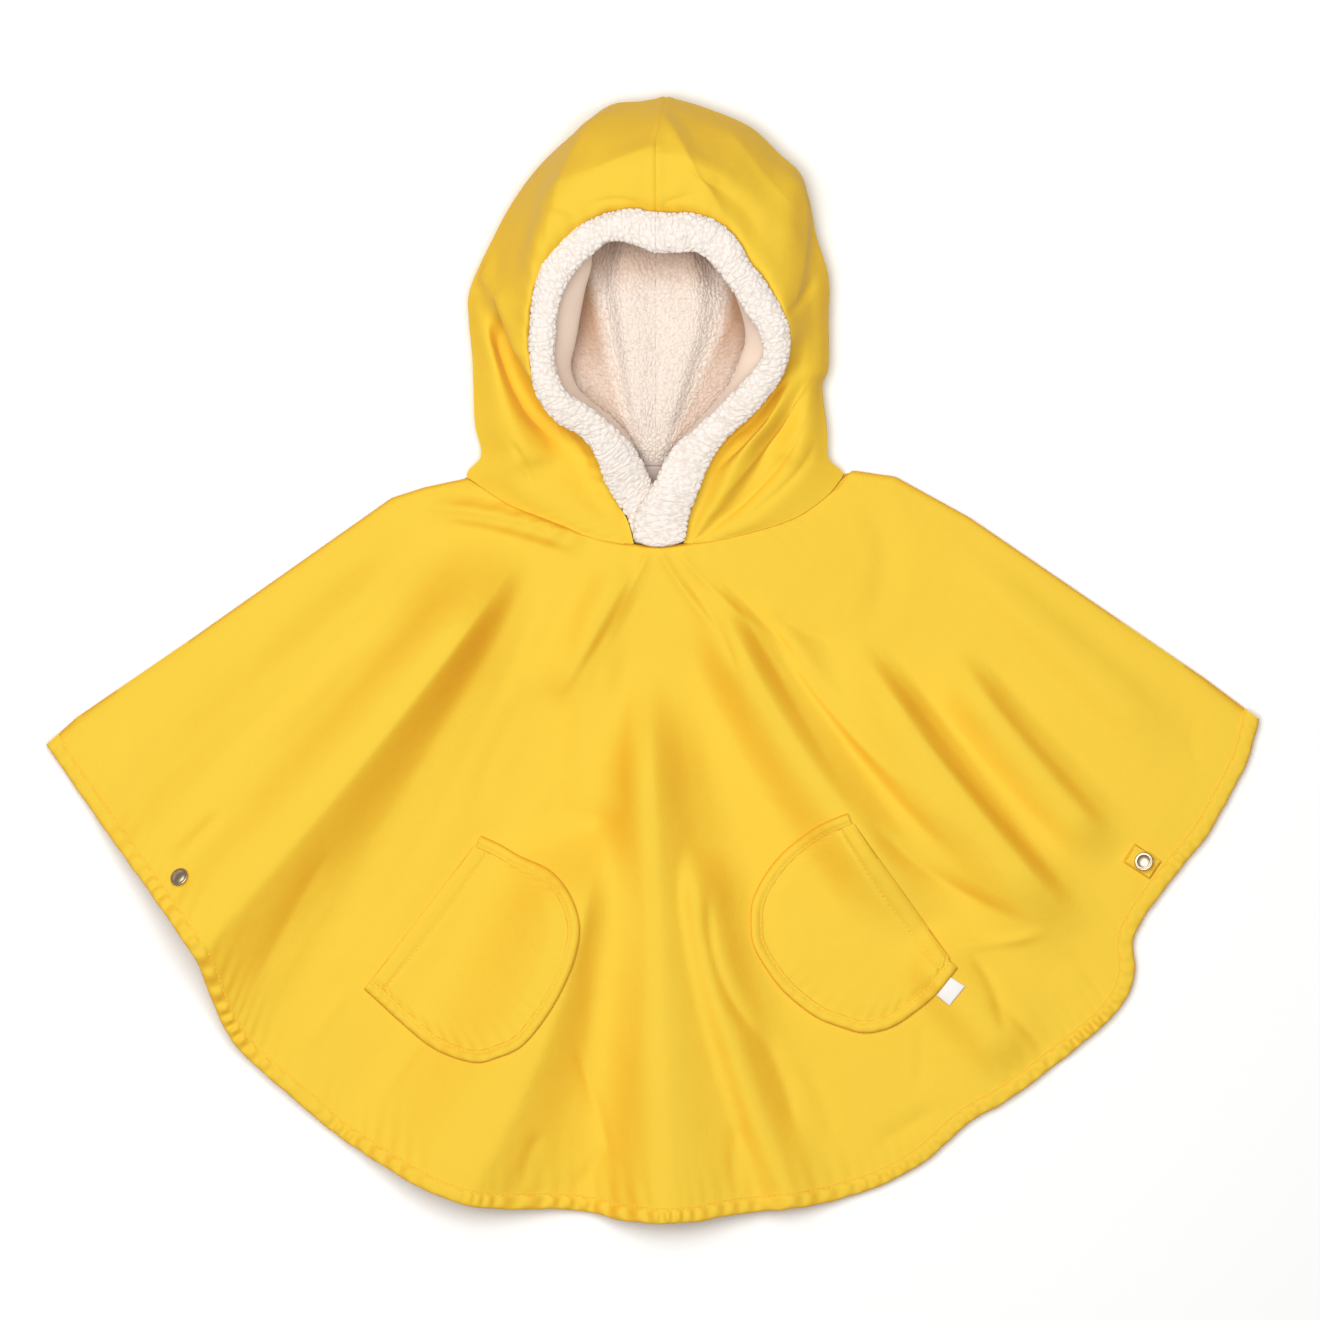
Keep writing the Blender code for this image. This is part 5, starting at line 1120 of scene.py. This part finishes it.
def hood_grid(rows, side):
    """The fine outer form of half the hood: its points, normals, and where the outline and corner are."""
    corner = next(i for i, row in enumerate(rows) if len(row) > 9)
    front, under = [], []
    for i, (out, inn, trim_z, edge, edge_z, a, b, c, d, *neck) in enumerate(rows):
        out, inn, edge = (np.array(p, float) for p in (out, inn, edge))
        if neck:
            edge = along(NECK_SEAM, neck)[0] + np.array([0, NECK_SHIFT])
            edge_z = float(neck_height(neck[0]))
        way = unit(inn - out)
        beside = float(smooth(i, corner - 0.5, corner + 1.5))
        rim = out + way * (TRIM_TUCK * (1 - beside) - TRIM_CLEAR * beside)
        rim_z = (trim_z - TRIM_DROP) * (1 - beside) + a[1] * beside
        row = [(*rim, rim_z)] + [(*(rim + (edge - rim) * share), z) for share, z in (a, b, c, d)]
        row = np.array(row + [(*edge, edge_z)])
        spine_y = SPINE_TOP + (BACK_NECK_Y - SPINE_TOP) * (i / corner) ** SPINE_SPREAD
        spine = np.array([float(seam_x(spine_y)), spine_y])
        to_spine = unit(spine - edge)
        floor_at = edge + to_spine * edge_z * TURN_FLOOR
        low = np.array([
            (*(edge + to_spine * UNDER_EDGE[0]), edge_z * UNDER_EDGE[1]),
            (*(edge + to_spine * edge_z * TURN_LOW[0]), edge_z * TURN_LOW[1]),
            (*floor_at, 0.0), (*((floor_at + spine) / 2), 0.0), (*spine, 0.0),
        ])
        if i == 0:
            row[:, 0] = seam_x(row[:, 1])
            low[:, 0] = seam_x(low[:, 1])
        front.append(row)
        under.append(np.concatenate([row[-1:], low]))
    last = len(rows) - 1
    over = round(HOOD_FINE_ROWS * corner / last)
    shares = np.concatenate([
        np.linspace(0, corner / last, over + 1),
        np.linspace(corner / last, 1, HOOD_FINE_ROWS - over + 1)[1:],
    ])
    front, under = curve_through(front, shares), curve_through(under, shares)
    on_neck = shares > corner / last - 1e-6
    neck_rows = [row[9] for row in rows[corner:]]
    neck = np.interp(shares[on_neck], np.linspace(corner / last, 1, len(neck_rows)), neck_rows)
    front[on_neck, -1, :2] = along(NECK_SEAM, neck) + np.array([0, SEAM_GAP])
    front[on_neck, -1, 2] = neck_height(neck)
    across = evenly(HOOD_FINE_FRONT + 1)
    front = curve_across(front, across)
    beneath = evenly(HOOD_FINE_UNDER + 1)[1:]
    under = curve_across(under, beneath)
    under[..., 2] = np.maximum(under[..., 2], 0)
    grid = np.concatenate([front, under], axis=1)
    grid[over + 1 :, front.shape[1] :] = np.nan
    grid[0, :, 0] = seam_x(grid[0, :, 1])
    edge = front.shape[1] - 1
    normals = grid_normals(grid)
    if normals[over // 2, edge // 3, 2] < 0:
        normals = -normals
    normals[on_neck, edge] = normals[-1, : edge + 1] = (0, 0, 1)
    normals[over, edge] = (side * 0.8, 0, 0.6)
    normals[0] = drop_part(normals[0], (0, 1, 1))
    normals[: over + 1, -1] = (0, 0, -1)
    normals[over, edge + 1 :] = drop_part(normals[over, edge + 1 :], (1, 0, 1))
    return grid, normals, edge, over


def make_hood_half(side_name, rows, side):
    """Half of the hood's shell, with its creases, its seam ridges and the puckers round the opening."""
    grid, normals, edge, over = hood_grid(rows, side)
    plan = grid[..., :2]
    filled = np.nan_to_num(plan)
    from_seam = np.abs(filled[..., 0] - seam_x(filled[..., 1]))
    down_rim = np.broadcast_to(reach_of(grid[:, 0])[:, None], grid.shape[:2])
    from_rim = size_of(np.nan_to_num(grid - grid[:, :1]))
    from_edge = size_of(np.nan_to_num(grid - grid[:, edge : edge + 1]))
    column = np.arange(grid.shape[1])[None, :]
    above = (column <= edge) * smooth(edge - column, 0, HOOD_EDGE_FADE)
    creased = crease_height(filled, HOOD_CREASES)
    deep = smooth(np.nan_to_num(grid[..., 2]), HOOD_LOW, HOOD_HIGH)
    lift = np.where(creased < 0, np.maximum(creased, -TROUGH_LOW - TROUGH_MORE * deep), creased) * above
    lift += pucker(down_rim, from_rim, RIM_PUCKER, 7 + side) * above * smooth(from_rim, 0, STITCH_FADE)
    on_neck = smooth(np.arange(grid.shape[0])[:, None], over, over + 6) * (column <= edge)
    neck_run = np.broadcast_to(reach_of(grid[:, edge])[:, None], grid.shape[:2])
    lift += pucker(neck_run, from_edge, NECK_PUCKER, 13 + side) * on_neck * smooth(from_edge, 0, 2)
    ridge = np.exp(-(((from_seam - RIDGE_AT) / RIDGE_WIDTH) ** 2))
    ridge -= GROOVE_DEPTH * np.exp(-((from_seam / GROOVE_WIDTH) ** 2))
    lift += SEAM_RIDGE * ridge * (column <= edge + 4)
    lift += crumple(np.nan_to_num(grid)) * above * smooth(from_rim, 0, 8) * smooth(from_seam, 0, 6)
    grid = grid + normals * lift[..., None]
    grid[0, :, 0] += side * TOUCHING
    grid[1 : over + 1, -1, 0] += side * TOUCHING
    inner = grid - normals * CLOTH_WALL
    grid[..., 2], inner[..., 2] = np.maximum(grid[..., 2], 0), np.maximum(inner[..., 2], 0.2)
    present = ~np.isnan(grid[..., 0])
    index = np.full(grid.shape[:2], -1)
    index[present] = np.arange(present.sum())
    cells = quads(index)
    cells = cells[cells.min(axis=1) >= 0]
    sides = np.concatenate([cells[:, [k, (k + 1) % 4]] for k in range(4)])
    code = sides[:, 0] * 10**7 + sides[:, 1]
    rim = sides[~np.isin(code, sides[:, 1] * 10**7 + sides[:, 0])]
    shift = int(present.sum())
    walls = np.stack([rim[:, 1], rim[:, 0], rim[:, 0] + shift, rim[:, 1] + shift], axis=-1)
    faces = np.concatenate([cells, cells[:, ::-1] + shift, walls])
    points = np.concatenate([grid[present], inner[present]])
    uv = grid_uv(grid)[present]
    made = new_mesh("hood_shell_" + side_name, points, faces.tolist(), HOOD_CLOTH, np.concatenate([uv, uv]))
    return dress(made, "shell_cloth", "hood_" + side_name)


def make_lining_half(side_name, rows, side):
    """Half of the hood's lining: the smooth facing along the rim, then teddy pile down into the hood."""
    controls = []
    for i, (rim, facing, cavity, back, seam_y, seam_z) in enumerate(rows):
        seam = (float(seam_x(seam_y)), seam_y, seam_z)
        swell = SWELL_AT * np.array(back, float) + (1 - SWELL_AT) * np.array(seam)
        swell[2] = max(back[2], seam_z) * 0.5 + seam_z * 0.5 + (BACK_CROWN if i in CROWNED_ROWS else 0)
        controls.append([rim, facing, cavity, back, tuple(swell), seam])
    grid = curve_through(controls, evenly(LINING_FINE_ROWS + 1))
    split = 1 / (len(controls[0]) - 1)
    across = np.concatenate([
        np.linspace(0, split, FACING_COLUMNS + 1), np.linspace(split, 1, PILE_COLUMNS + 1)[1:],
    ])
    grid = curve_across(grid, across)
    grid[0, :, 0] = SEAM_X
    grid[:, -1, 0] = SEAM_X
    normals = grid_normals(grid)
    if normals[LINING_FINE_ROWS // 2, -2, 2] < 0:
        normals = -normals
    normals[0] = drop_part(normals[0], (0, 1, 1))
    normals[:, -1] = drop_part(normals[:, -1], (0, 1, 1))
    normals[-1] = drop_part(normals[-1], (1, 0, 1))
    grid[0, :, 0] += side * TOUCHING
    grid[1:, -1, 0] += side * TOUCHING
    facing, outward = grid[:, : FACING_COLUMNS + 1], normals[:, : FACING_COLUMNS + 1]
    facing = facing + outward * (FACING_UNEVEN * soft_noise(facing, 18.0, 31))[..., None]
    under = facing - outward * CLOTH_WALL
    hem = skin("hood_facing_" + side_name, facing, under, UNDER_STRIDE, FACING)
    dress(hem, "brushed_lining")
    pile, outward = grid[:, FACING_COLUMNS:], normals[:, FACING_COLUMNS:]
    curl = tufts(pile, CURL, 60)
    knot = tufts(pile, KNOT, 80)
    # painted shade: the side hollows, more of it higher up, and the pile under the brow are painted darker
    deep = np.interp(across[FACING_COLUMNS:], *zip(*LINING_SHADE))[None, :]
    deep = deep * (LOW_SHADE + (1 - LOW_SHADE) * smooth(pile[..., 1], *LOW_TO_HIGH))
    deep = np.maximum(deep, BROW_SHADE * smooth(pile[..., 1], *UNDER_BROW))
    out = (curl - CURL_SINK) * CURL_HEIGHT + (knot - KNOT_SINK) * KNOT_HEIGHT
    raised = pile + outward * out[..., None]
    raised[0, :, 0] = pile[0, :, 0]
    raised[:, -1, 0] = pile[:, -1, 0]
    under = pile - outward * PILE_WALL
    pile_shade = (LINING_PALE + CURL_PALE * curl + KNOT_PALE * knot) * (1 - DEEPEST_SHADE * deep)
    made = skin("hood_pile_" + side_name, raised, under, UNDER_STRIDE, LINING, pile_shade)
    return dress(made, "teddy_fleece", "hood_lining_" + side_name), hem


def make_trim_half(side_name, rows, side):
    """Half of the teddy band round the face opening."""
    controls = np.array([(*out, *inn, z) for out, inn, z, *_ in rows], float)
    spots = curve_through(controls, evenly(TRIM_STATIONS))
    turn = np.linspace(0, 2 * math.pi, TRIM_AROUND, endpoint=False)
    out, inn, z = spots[:, 0:2].copy(), spots[:, 2:4].copy(), spots[:, 4]
    out[0, 0] = inn[0, 0] = SEAM_X + side * TOUCHING
    share = evenly(TRIM_STATIONS)
    half = TRIM_HALF + (TRIM_HALF_LOW - TRIM_HALF) * smooth(share, TRIM_LOW_FROM, TRIM_LOW_TO)
    ending = smooth(share, TRIM_ENDS_FROM, 1.0)
    out, inn = (edge - np.array([0.0, TRIM_OVERLAP]) * ending[:, None] for edge in (out, inn))
    z = z + TRIM_END_RISE * TRIM_OVERLAP * ending
    middle, reach = (out + inn) / 2, (out - inn) / 2
    closing = np.clip((share - TRIM_ROUNDS_FROM) / (1 - TRIM_ROUNDS_FROM), 0, 1)
    rounded = np.sqrt(np.clip(1 - closing**2, 0.02, 1))
    fluff = TRIM_FLUFF * smooth(share, TRIM_FLUFF_FROM, TRIM_FLUFF_TO)
    reach = reach * ((1 + fluff) * rounded)[:, None]
    half = half * np.sqrt(rounded)
    rings = np.zeros((TRIM_STATIONS, TRIM_AROUND, 3))
    rings[..., :2] = middle[:, None] + reach[:, None] * np.cos(turn)[None, :, None] * TRIM_WIDE
    rings[..., 2] = z[:, None] + half[:, None] * np.sin(turn) * TRIM_HIGH
    away = rings - np.concatenate([middle, z[:, None]], axis=1)[:, None]
    away = unit(away / np.array([2.0, 2.0, 1.0]))
    curl = tufts(rings, TRIM_CURL, 60)
    knot = tufts(rings, TRIM_KNOT, 80)
    out = (curl - TRIM_SINK) * TRIM_CURL_HEIGHT + (knot - KNOT_SINK) * KNOT_HEIGHT
    rings = rings + away * out[..., None]
    rings = rings + away * (TRIM_UNEVEN * soft_noise(rings, 14.0, 90))[..., None]
    # painted shade: the gaps between the curls are painted darker than their tips
    made = tube("trim_pile_" + side_name, rings, FLEECE, TRIM_CURL_PALE * curl + TRIM_KNOT_PALE * knot, 80.0)
    dress(made, "teddy_fleece", "trim_" + side_name)


def surface_under(made):
    """A function that gives the height of a piece's top face at a plan point, in millimetres."""
    tree = BVHTree.FromObject(made, bpy.context.evaluated_depsgraph_get())

    def height(spot):
        hit = tree.ray_cast(Vector((spot[0] * MM, spot[1] * MM, 1.0)), Vector((0, 0, -1)))
        return hit[0].z / MM

    return height


def heights_on(height, plan):
    """Heights of a whole grid of plan points."""
    return np.array([height(spot) for spot in plan.reshape(-1, 2)]).reshape(plan.shape[:-1])


def make_pocket(side_name, edge, height):
    """A patch pocket: its patch, the stitched band round its curve, and the thread on both."""
    shares = evenly(POCKET_STATIONS)
    outer = along(edge, shares)
    way = left_of(outer)
    middle = outer.mean(axis=0)
    way *= np.sign(np.sum(way * (middle - outer), axis=1, keepdims=True))
    length = reach_of(outer)
    rings = np.zeros((POCKET_STATIONS, len(POCKET_PROFILE), 3))
    for k, (inside, up) in enumerate(POCKET_PROFILE):
        plan = outer + way * inside
        puff = math.sin(math.pi * min(inside / 6.4, 1.0)) if up > 1 else 0.0
        lift = puff * pucker(length, np.zeros_like(length), POCKET_PUCKER, 17)
        rings[:, k, :2] = plan
        rings[:, k, 2] = heights_on(height, plan) + POCKET_LIFT + up + lift
    name = "pocket_" + side_name
    band = tube(name + "_hem", rings, CLOTH)
    dress(band, "shell_cloth", name + "_band")

    curve = outer + way * (POCKET_BAND - PATCH_LAP)
    start, end = (outer[k] + way[k] * POCKET_BAND * MOUTH_AT for k in (0, -1))
    run = unit(end - start)
    start, end = start + run * POCKET_BAND * MOUTH_INSET, end - run * POCKET_BAND * MOUTH_INSET
    mouth = evenly(POCKET_STATIONS)[:, None]
    line = start * (1 - mouth) + end * mouth
    steps = evenly(PATCH_ROWS + 1)[None, :, None]
    plan = line[:, None] * (1 - steps) + curve[:, None] * steps
    from_mouth, from_curve = size_of(plan - line[:, None]), size_of(plan - curve[:, None])
    sewn = np.exp(-((from_mouth - MOUTH_STITCH_IN) / 1.6) ** 2)
    puff = smooth(from_curve, 0, 14) * smooth(from_mouth, 0, 4) - PATCH_PUFF * sewn
    puff += pucker(length[:, None], from_curve, POCKET_PUCKER, 17) * smooth(from_curve, 0, 2)
    low = heights_on(height, plan) + POCKET_LIFT
    top = low + PATCH_WALL + puff + 0.5 * crumple(plan)
    top[:, 0] = np.maximum(top[:, 0] - 0.5, low[:, 0] + 0.6)
    patch = laid(name + "_patch", plan, top, low, 2, CLOTH, "shell_cloth", name)

    across = size_of(plan[:, -1] - plan[:, 0])
    share = np.clip(MOUTH_STITCH_IN / np.maximum(across, 1e-6), 0, 1)
    spots = line * (1 - share[:, None]) + curve * share[:, None]
    level = [np.interp(at * PATCH_ROWS, np.arange(PATCH_ROWS + 1), row) for at, row in zip(share, top)]
    path = np.column_stack([spots, np.array(level) + 2 * THREAD_LIFT])
    stitches(name + "_mouth_thread", path[across > MOUTH_STITCH_IN])
    stitches(name + "_thread", rings[:, POCKET_STITCH_RING] + np.array([0, 0, THREAD_LIFT]))
    return band, patch


def square_to(axis):
    """A unit axis and two unit vectors that are square to it and to each other."""
    axis = unit(np.array(axis, float))
    across = unit(np.cross(axis, (0.0, 1.0, 0.0)))
    return axis, across, np.cross(axis, across)


def make_cap(side_name, height, spot, tilt):
    """A press stud's cap with a blank dome."""
    lean = (-math.sin(tilt) * math.sqrt(0.5), math.sin(tilt) * math.sqrt(0.5), math.cos(tilt))
    axis, across, other = square_to(lean)
    turn = np.linspace(0, 2 * math.pi, CAP_SEGMENTS, endpoint=False)
    round_it = across[None] * np.cos(turn)[:, None] + other[None] * np.sin(turn)[:, None]
    rim = axis * CAP_RIM[1] + round_it * CAP_RIM[0]
    seat = max(height((spot[0] + p[0], spot[1] + p[1])) - p[2] for p in rim)
    base = np.array([*spot, seat + CAP_SEAT])
    points = [base + axis * CAP_PROFILE[0][1]]
    for radius, up in CAP_PROFILE[1:-1]:
        points += list(base + axis * up + round_it * radius)
    points.append(base + axis * CAP_PROFILE[-1][1])
    faces = []
    top = 1 + (len(CAP_PROFILE) - 3) * CAP_SEGMENTS
    for k in range(CAP_SEGMENTS):
        after = (k + 1) % CAP_SEGMENTS
        faces.append([0, 1 + after, 1 + k])
        for ring in range(len(CAP_PROFILE) - 3):
            a, b = 1 + ring * CAP_SEGMENTS + k, 1 + ring * CAP_SEGMENTS + after
            faces.append([a, b, b + CAP_SEGMENTS, a + CAP_SEGMENTS])
        faces.append([top + k, top + after, len(points) - 1])
    made = new_mesh(f"stud_{side_name}_dome", points, faces, METAL)
    return dress(made, "stud_metal", f"stud_{side_name}_cap")


def make_tab(height):
    """The stitched facing under the right stud."""
    start, end = np.array(TAB_START, float), np.array(TAB_END, float)
    run = unit(end - start)
    side = np.array([-run[1], run[0]]) * TAB_WIDTH / 2
    steps, sides = evenly(LABEL_STEPS), np.linspace(-1, 1, 17)
    plan = np.array([[start + (end - start) * t + side * k for k in sides] for t in steps])
    inner = np.minimum(np.minimum(steps, 1 - steps)[:, None] * TAB_CUT[0], (1 - np.abs(sides)) * TAB_CUT[1])
    low = heights_on(height, plan) + TAB_LIFT
    low = low + 0.7 * soft_noise(plan, 9.0, 71) * (1 - smooth(inner, 0, 2.5))
    top = low + TAB_WALL + 1.0 * smooth(inner, 0, 1.2) - 0.8 * np.exp(-((inner - 1.9) / 0.7) ** 2)
    made = laid("stud_right_facing", plan, top, low, 2, CLOTH, "shell_cloth", "stud_right_tab")
    a, b = start + run * TAB_STITCH_IN, end - run * TAB_STITCH_IN
    inset = side * (1 - TAB_STITCH_IN / (TAB_WIDTH / 2))
    corners = [a + inset, b + inset, b - inset, a - inset, a + inset]
    path = broken_line(corners, evenly(120))
    level = heights_on(height, path) + TAB_LIFT + TAB_WALL
    stitches("stud_right_thread", np.column_stack([path, level + THREAD_LIFT]), TAB_STITCH, TAB_STITCH_GAP)
    return made


def make_pocket_label(height):
    """The folded tape at the right pocket's lower corner, left blank."""
    a, b, c, d = (np.array(p, float) for p in POCKET_LABEL)
    steps = evenly(LABEL_STEPS)
    plan = np.array([
        [(a * (1 - s) + b * s) * (1 - t) + (d * (1 - s) + c * s) * t for t in steps] for s in steps
    ])
    inward = np.minimum(steps, 1 - steps)
    rim = np.minimum(inward[:, None], inward) * 12
    low = heights_on(height, plan) + POCKET_LIFT
    top = low + LABEL_WALL * (0.45 + 0.55 * smooth(rim, 0, 0.8)) + 0.5 * np.sin(math.pi * steps)[:, None]
    return laid("pocket_tape", plan, top, low, 2, COTTON, "label_tape", "pocket_label")


def make_neck_label():
    """The blank satin tape that hangs from the back neck seam, with its folded edge on top."""
    xs = np.linspace(*NECK_LABEL_X, 17)
    rows = evenly(LABEL_STEPS)
    top, bottom = np.array(NECK_LABEL_TOP), np.array(NECK_LABEL_BOTTOM)
    fold = NECK_FOLD * (1 - smooth(rows, 0.24, 0.28))
    fold -= NECK_FOLD_GROOVE * np.exp(-(((rows - 0.29) / 0.03) ** 2))
    grid = np.array([[(x, *(top * (1 - t) + bottom * t)) for x in xs] for t in rows])
    upper = grid + np.array([0, 0, LABEL_WALL])
    upper[..., 2] += fold[:, None]
    made = skin("neck_tape", upper, grid, 2, SATIN_TAPE)
    return dress(made, "label_tape", "neck_label")


def make_neck_lining():
    """The body lining below the back neck seam."""
    across = np.linspace(-1, 1, 41)
    depth = NECK_LINING_DEPTH * np.sqrt(1 - 0.8 * across**2)
    top = BACK_NECK_Y - 1.5
    steps = evenly(LABEL_STEPS)
    xs = SEAM_X + across * NECK_LINING_WIDTH / 2
    plan = np.array([[(x, top - deep * t) for t in steps] for x, deep in zip(xs, depth)])
    level = np.full(plan.shape[:2], BACK_WALL + SEAM_GAP)
    upper = level + NECK_LINING_WALL + 0.3 * soft_noise(plan, 9.0, 95)
    return laid("neck_facing", plan, upper, level, 4, FACING, "brushed_lining", "neck_lining")


front = make_front()
back = make_back()
front_hem, front_rings = make_hem("front_hem", "front_binding", front_hem_middle(), 0.0, False)
back_hem, _ = make_hem("back_hem", "back_binding", BINDING_WALL / 2, BACK_INSET, True)
front_thread = stitches("front_hem_thread", front_rings[:, STITCH_RING])
on_front = surface_under(front)

hoods, facings, piles = {}, {}, {}
halves = (("left", -1, HOOD_LEFT, LINING_LEFT), ("right", 1, HOOD_RIGHT, LINING_RIGHT))
for name, side, hood_rows, lining_rows in halves:
    hoods[name] = make_hood_half(name, hood_rows, side)
    piles[name], facings[name] = make_lining_half(name, lining_rows, side)
    make_trim_half(name, hood_rows, side)

pockets = {
    side_name: make_pocket(side_name, edge, on_front)
    for side_name, edge in (("left", POCKET_LEFT_EDGE), ("right", POCKET_RIGHT_EDGE))
}
make_cap("left", on_front, STUD_LEFT, STUD_LEFT_TILT)
tab = make_tab(on_front)
make_cap("right", surface_under(tab), STUD_RIGHT, STUD_RIGHT_TILT)
pocket_tape = make_pocket_label(on_front)
neck_tape = make_neck_label()
neck_facing = make_neck_lining()
for name in ("stud_left_mate", "stud_right_mate"):
    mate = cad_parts[name]
    mate.data.materials.clear()
    mate.data.materials.append(METAL)

CUTS = (
    # piece, width and length of the cut, its area, what it rests on, what is sewn to it
    (front, 0.810, 0.490, 0.281, back, [front_hem, front_thread]),
    (back, 0.810, 0.500, 0.269, "floor", [back_hem]),
    (hoods["left"], 0.270, 0.300, 0.0570, "floor", []),
    (hoods["right"], 0.270, 0.300, 0.0542, "floor", []),
    (facings["left"], 0.290, 0.030, 0.0042, hoods["left"], []),
    (facings["right"], 0.290, 0.030, 0.0037, hoods["right"], []),
    (piles["left"], 0.240, 0.200, 0.0263, hoods["left"], []),
    (piles["right"], 0.240, 0.200, 0.0268, hoods["right"], []),
    (pockets["left"][1], 0.130, 0.125, 0.0121, front, [pockets["left"][0]]),
    (pockets["right"][1], 0.130, 0.120, 0.0110, front, [pockets["right"][0]]),
    (tab, 0.024, 0.0145, None, front, []),
    (pocket_tape, 0.014, 0.014, None, front, []),
    (neck_tape, 0.014, 0.0165, None, neck_facing, []),
    (neck_facing, 0.048, 0.020, 0.0009, back, []),
)
for piece, width, length, area, below, sewn in CUTS:
    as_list(sewn)

floor_mesh = bpy.data.meshes.new("floor")
floor_mesh.from_pydata([(-6, -6, 0), (6, -6, 0), (6, 6, 0), (-6, 6, 0)], [], [(0, 1, 2, 3)])
floor = bpy.data.objects.new("floor", floor_mesh)
bpy.context.collection.objects.link(floor)
floor_mesh.materials.append(material("white_paper", Roughness=0.9, Base_Color=linear(FLOOR_WHITE))[0])

world = bpy.data.worlds.new("studio")
world.use_nodes = True
world.node_tree.nodes["Background"].inputs["Color"].default_value = (1.0, 1.0, 1.0, 1.0)
world.node_tree.nodes["Background"].inputs["Strength"].default_value = FILL
bpy.context.scene.world = world
light = bpy.data.lights.new("softbox", "AREA")
light.size = LAMP_SIZE
light.energy = LAMP_POWER
lamp = bpy.data.objects.new("softbox", light)
lamp.location = LAMP_PLACE
lamp.rotation_euler = (-Vector(LAMP_PLACE)).to_track_quat("-Z", "Y").to_euler()
bpy.context.collection.objects.link(lamp)

lens = bpy.data.cameras.new("photo")
lens.sensor_width = SENSOR
lens.lens = SENSOR * CAMERA_HEIGHT / FRAME_WIDTH
lens.clip_end = 100.0
camera = bpy.data.objects.new("photo", lens)
camera.location = (FRAME_MIDDLE[0] * MM, FRAME_MIDDLE[1] * MM, CAMERA_HEIGHT * MM)
bpy.context.collection.objects.link(camera)
bpy.context.scene.camera = camera
bpy.context.scene.view_settings.view_transform = "Standard"
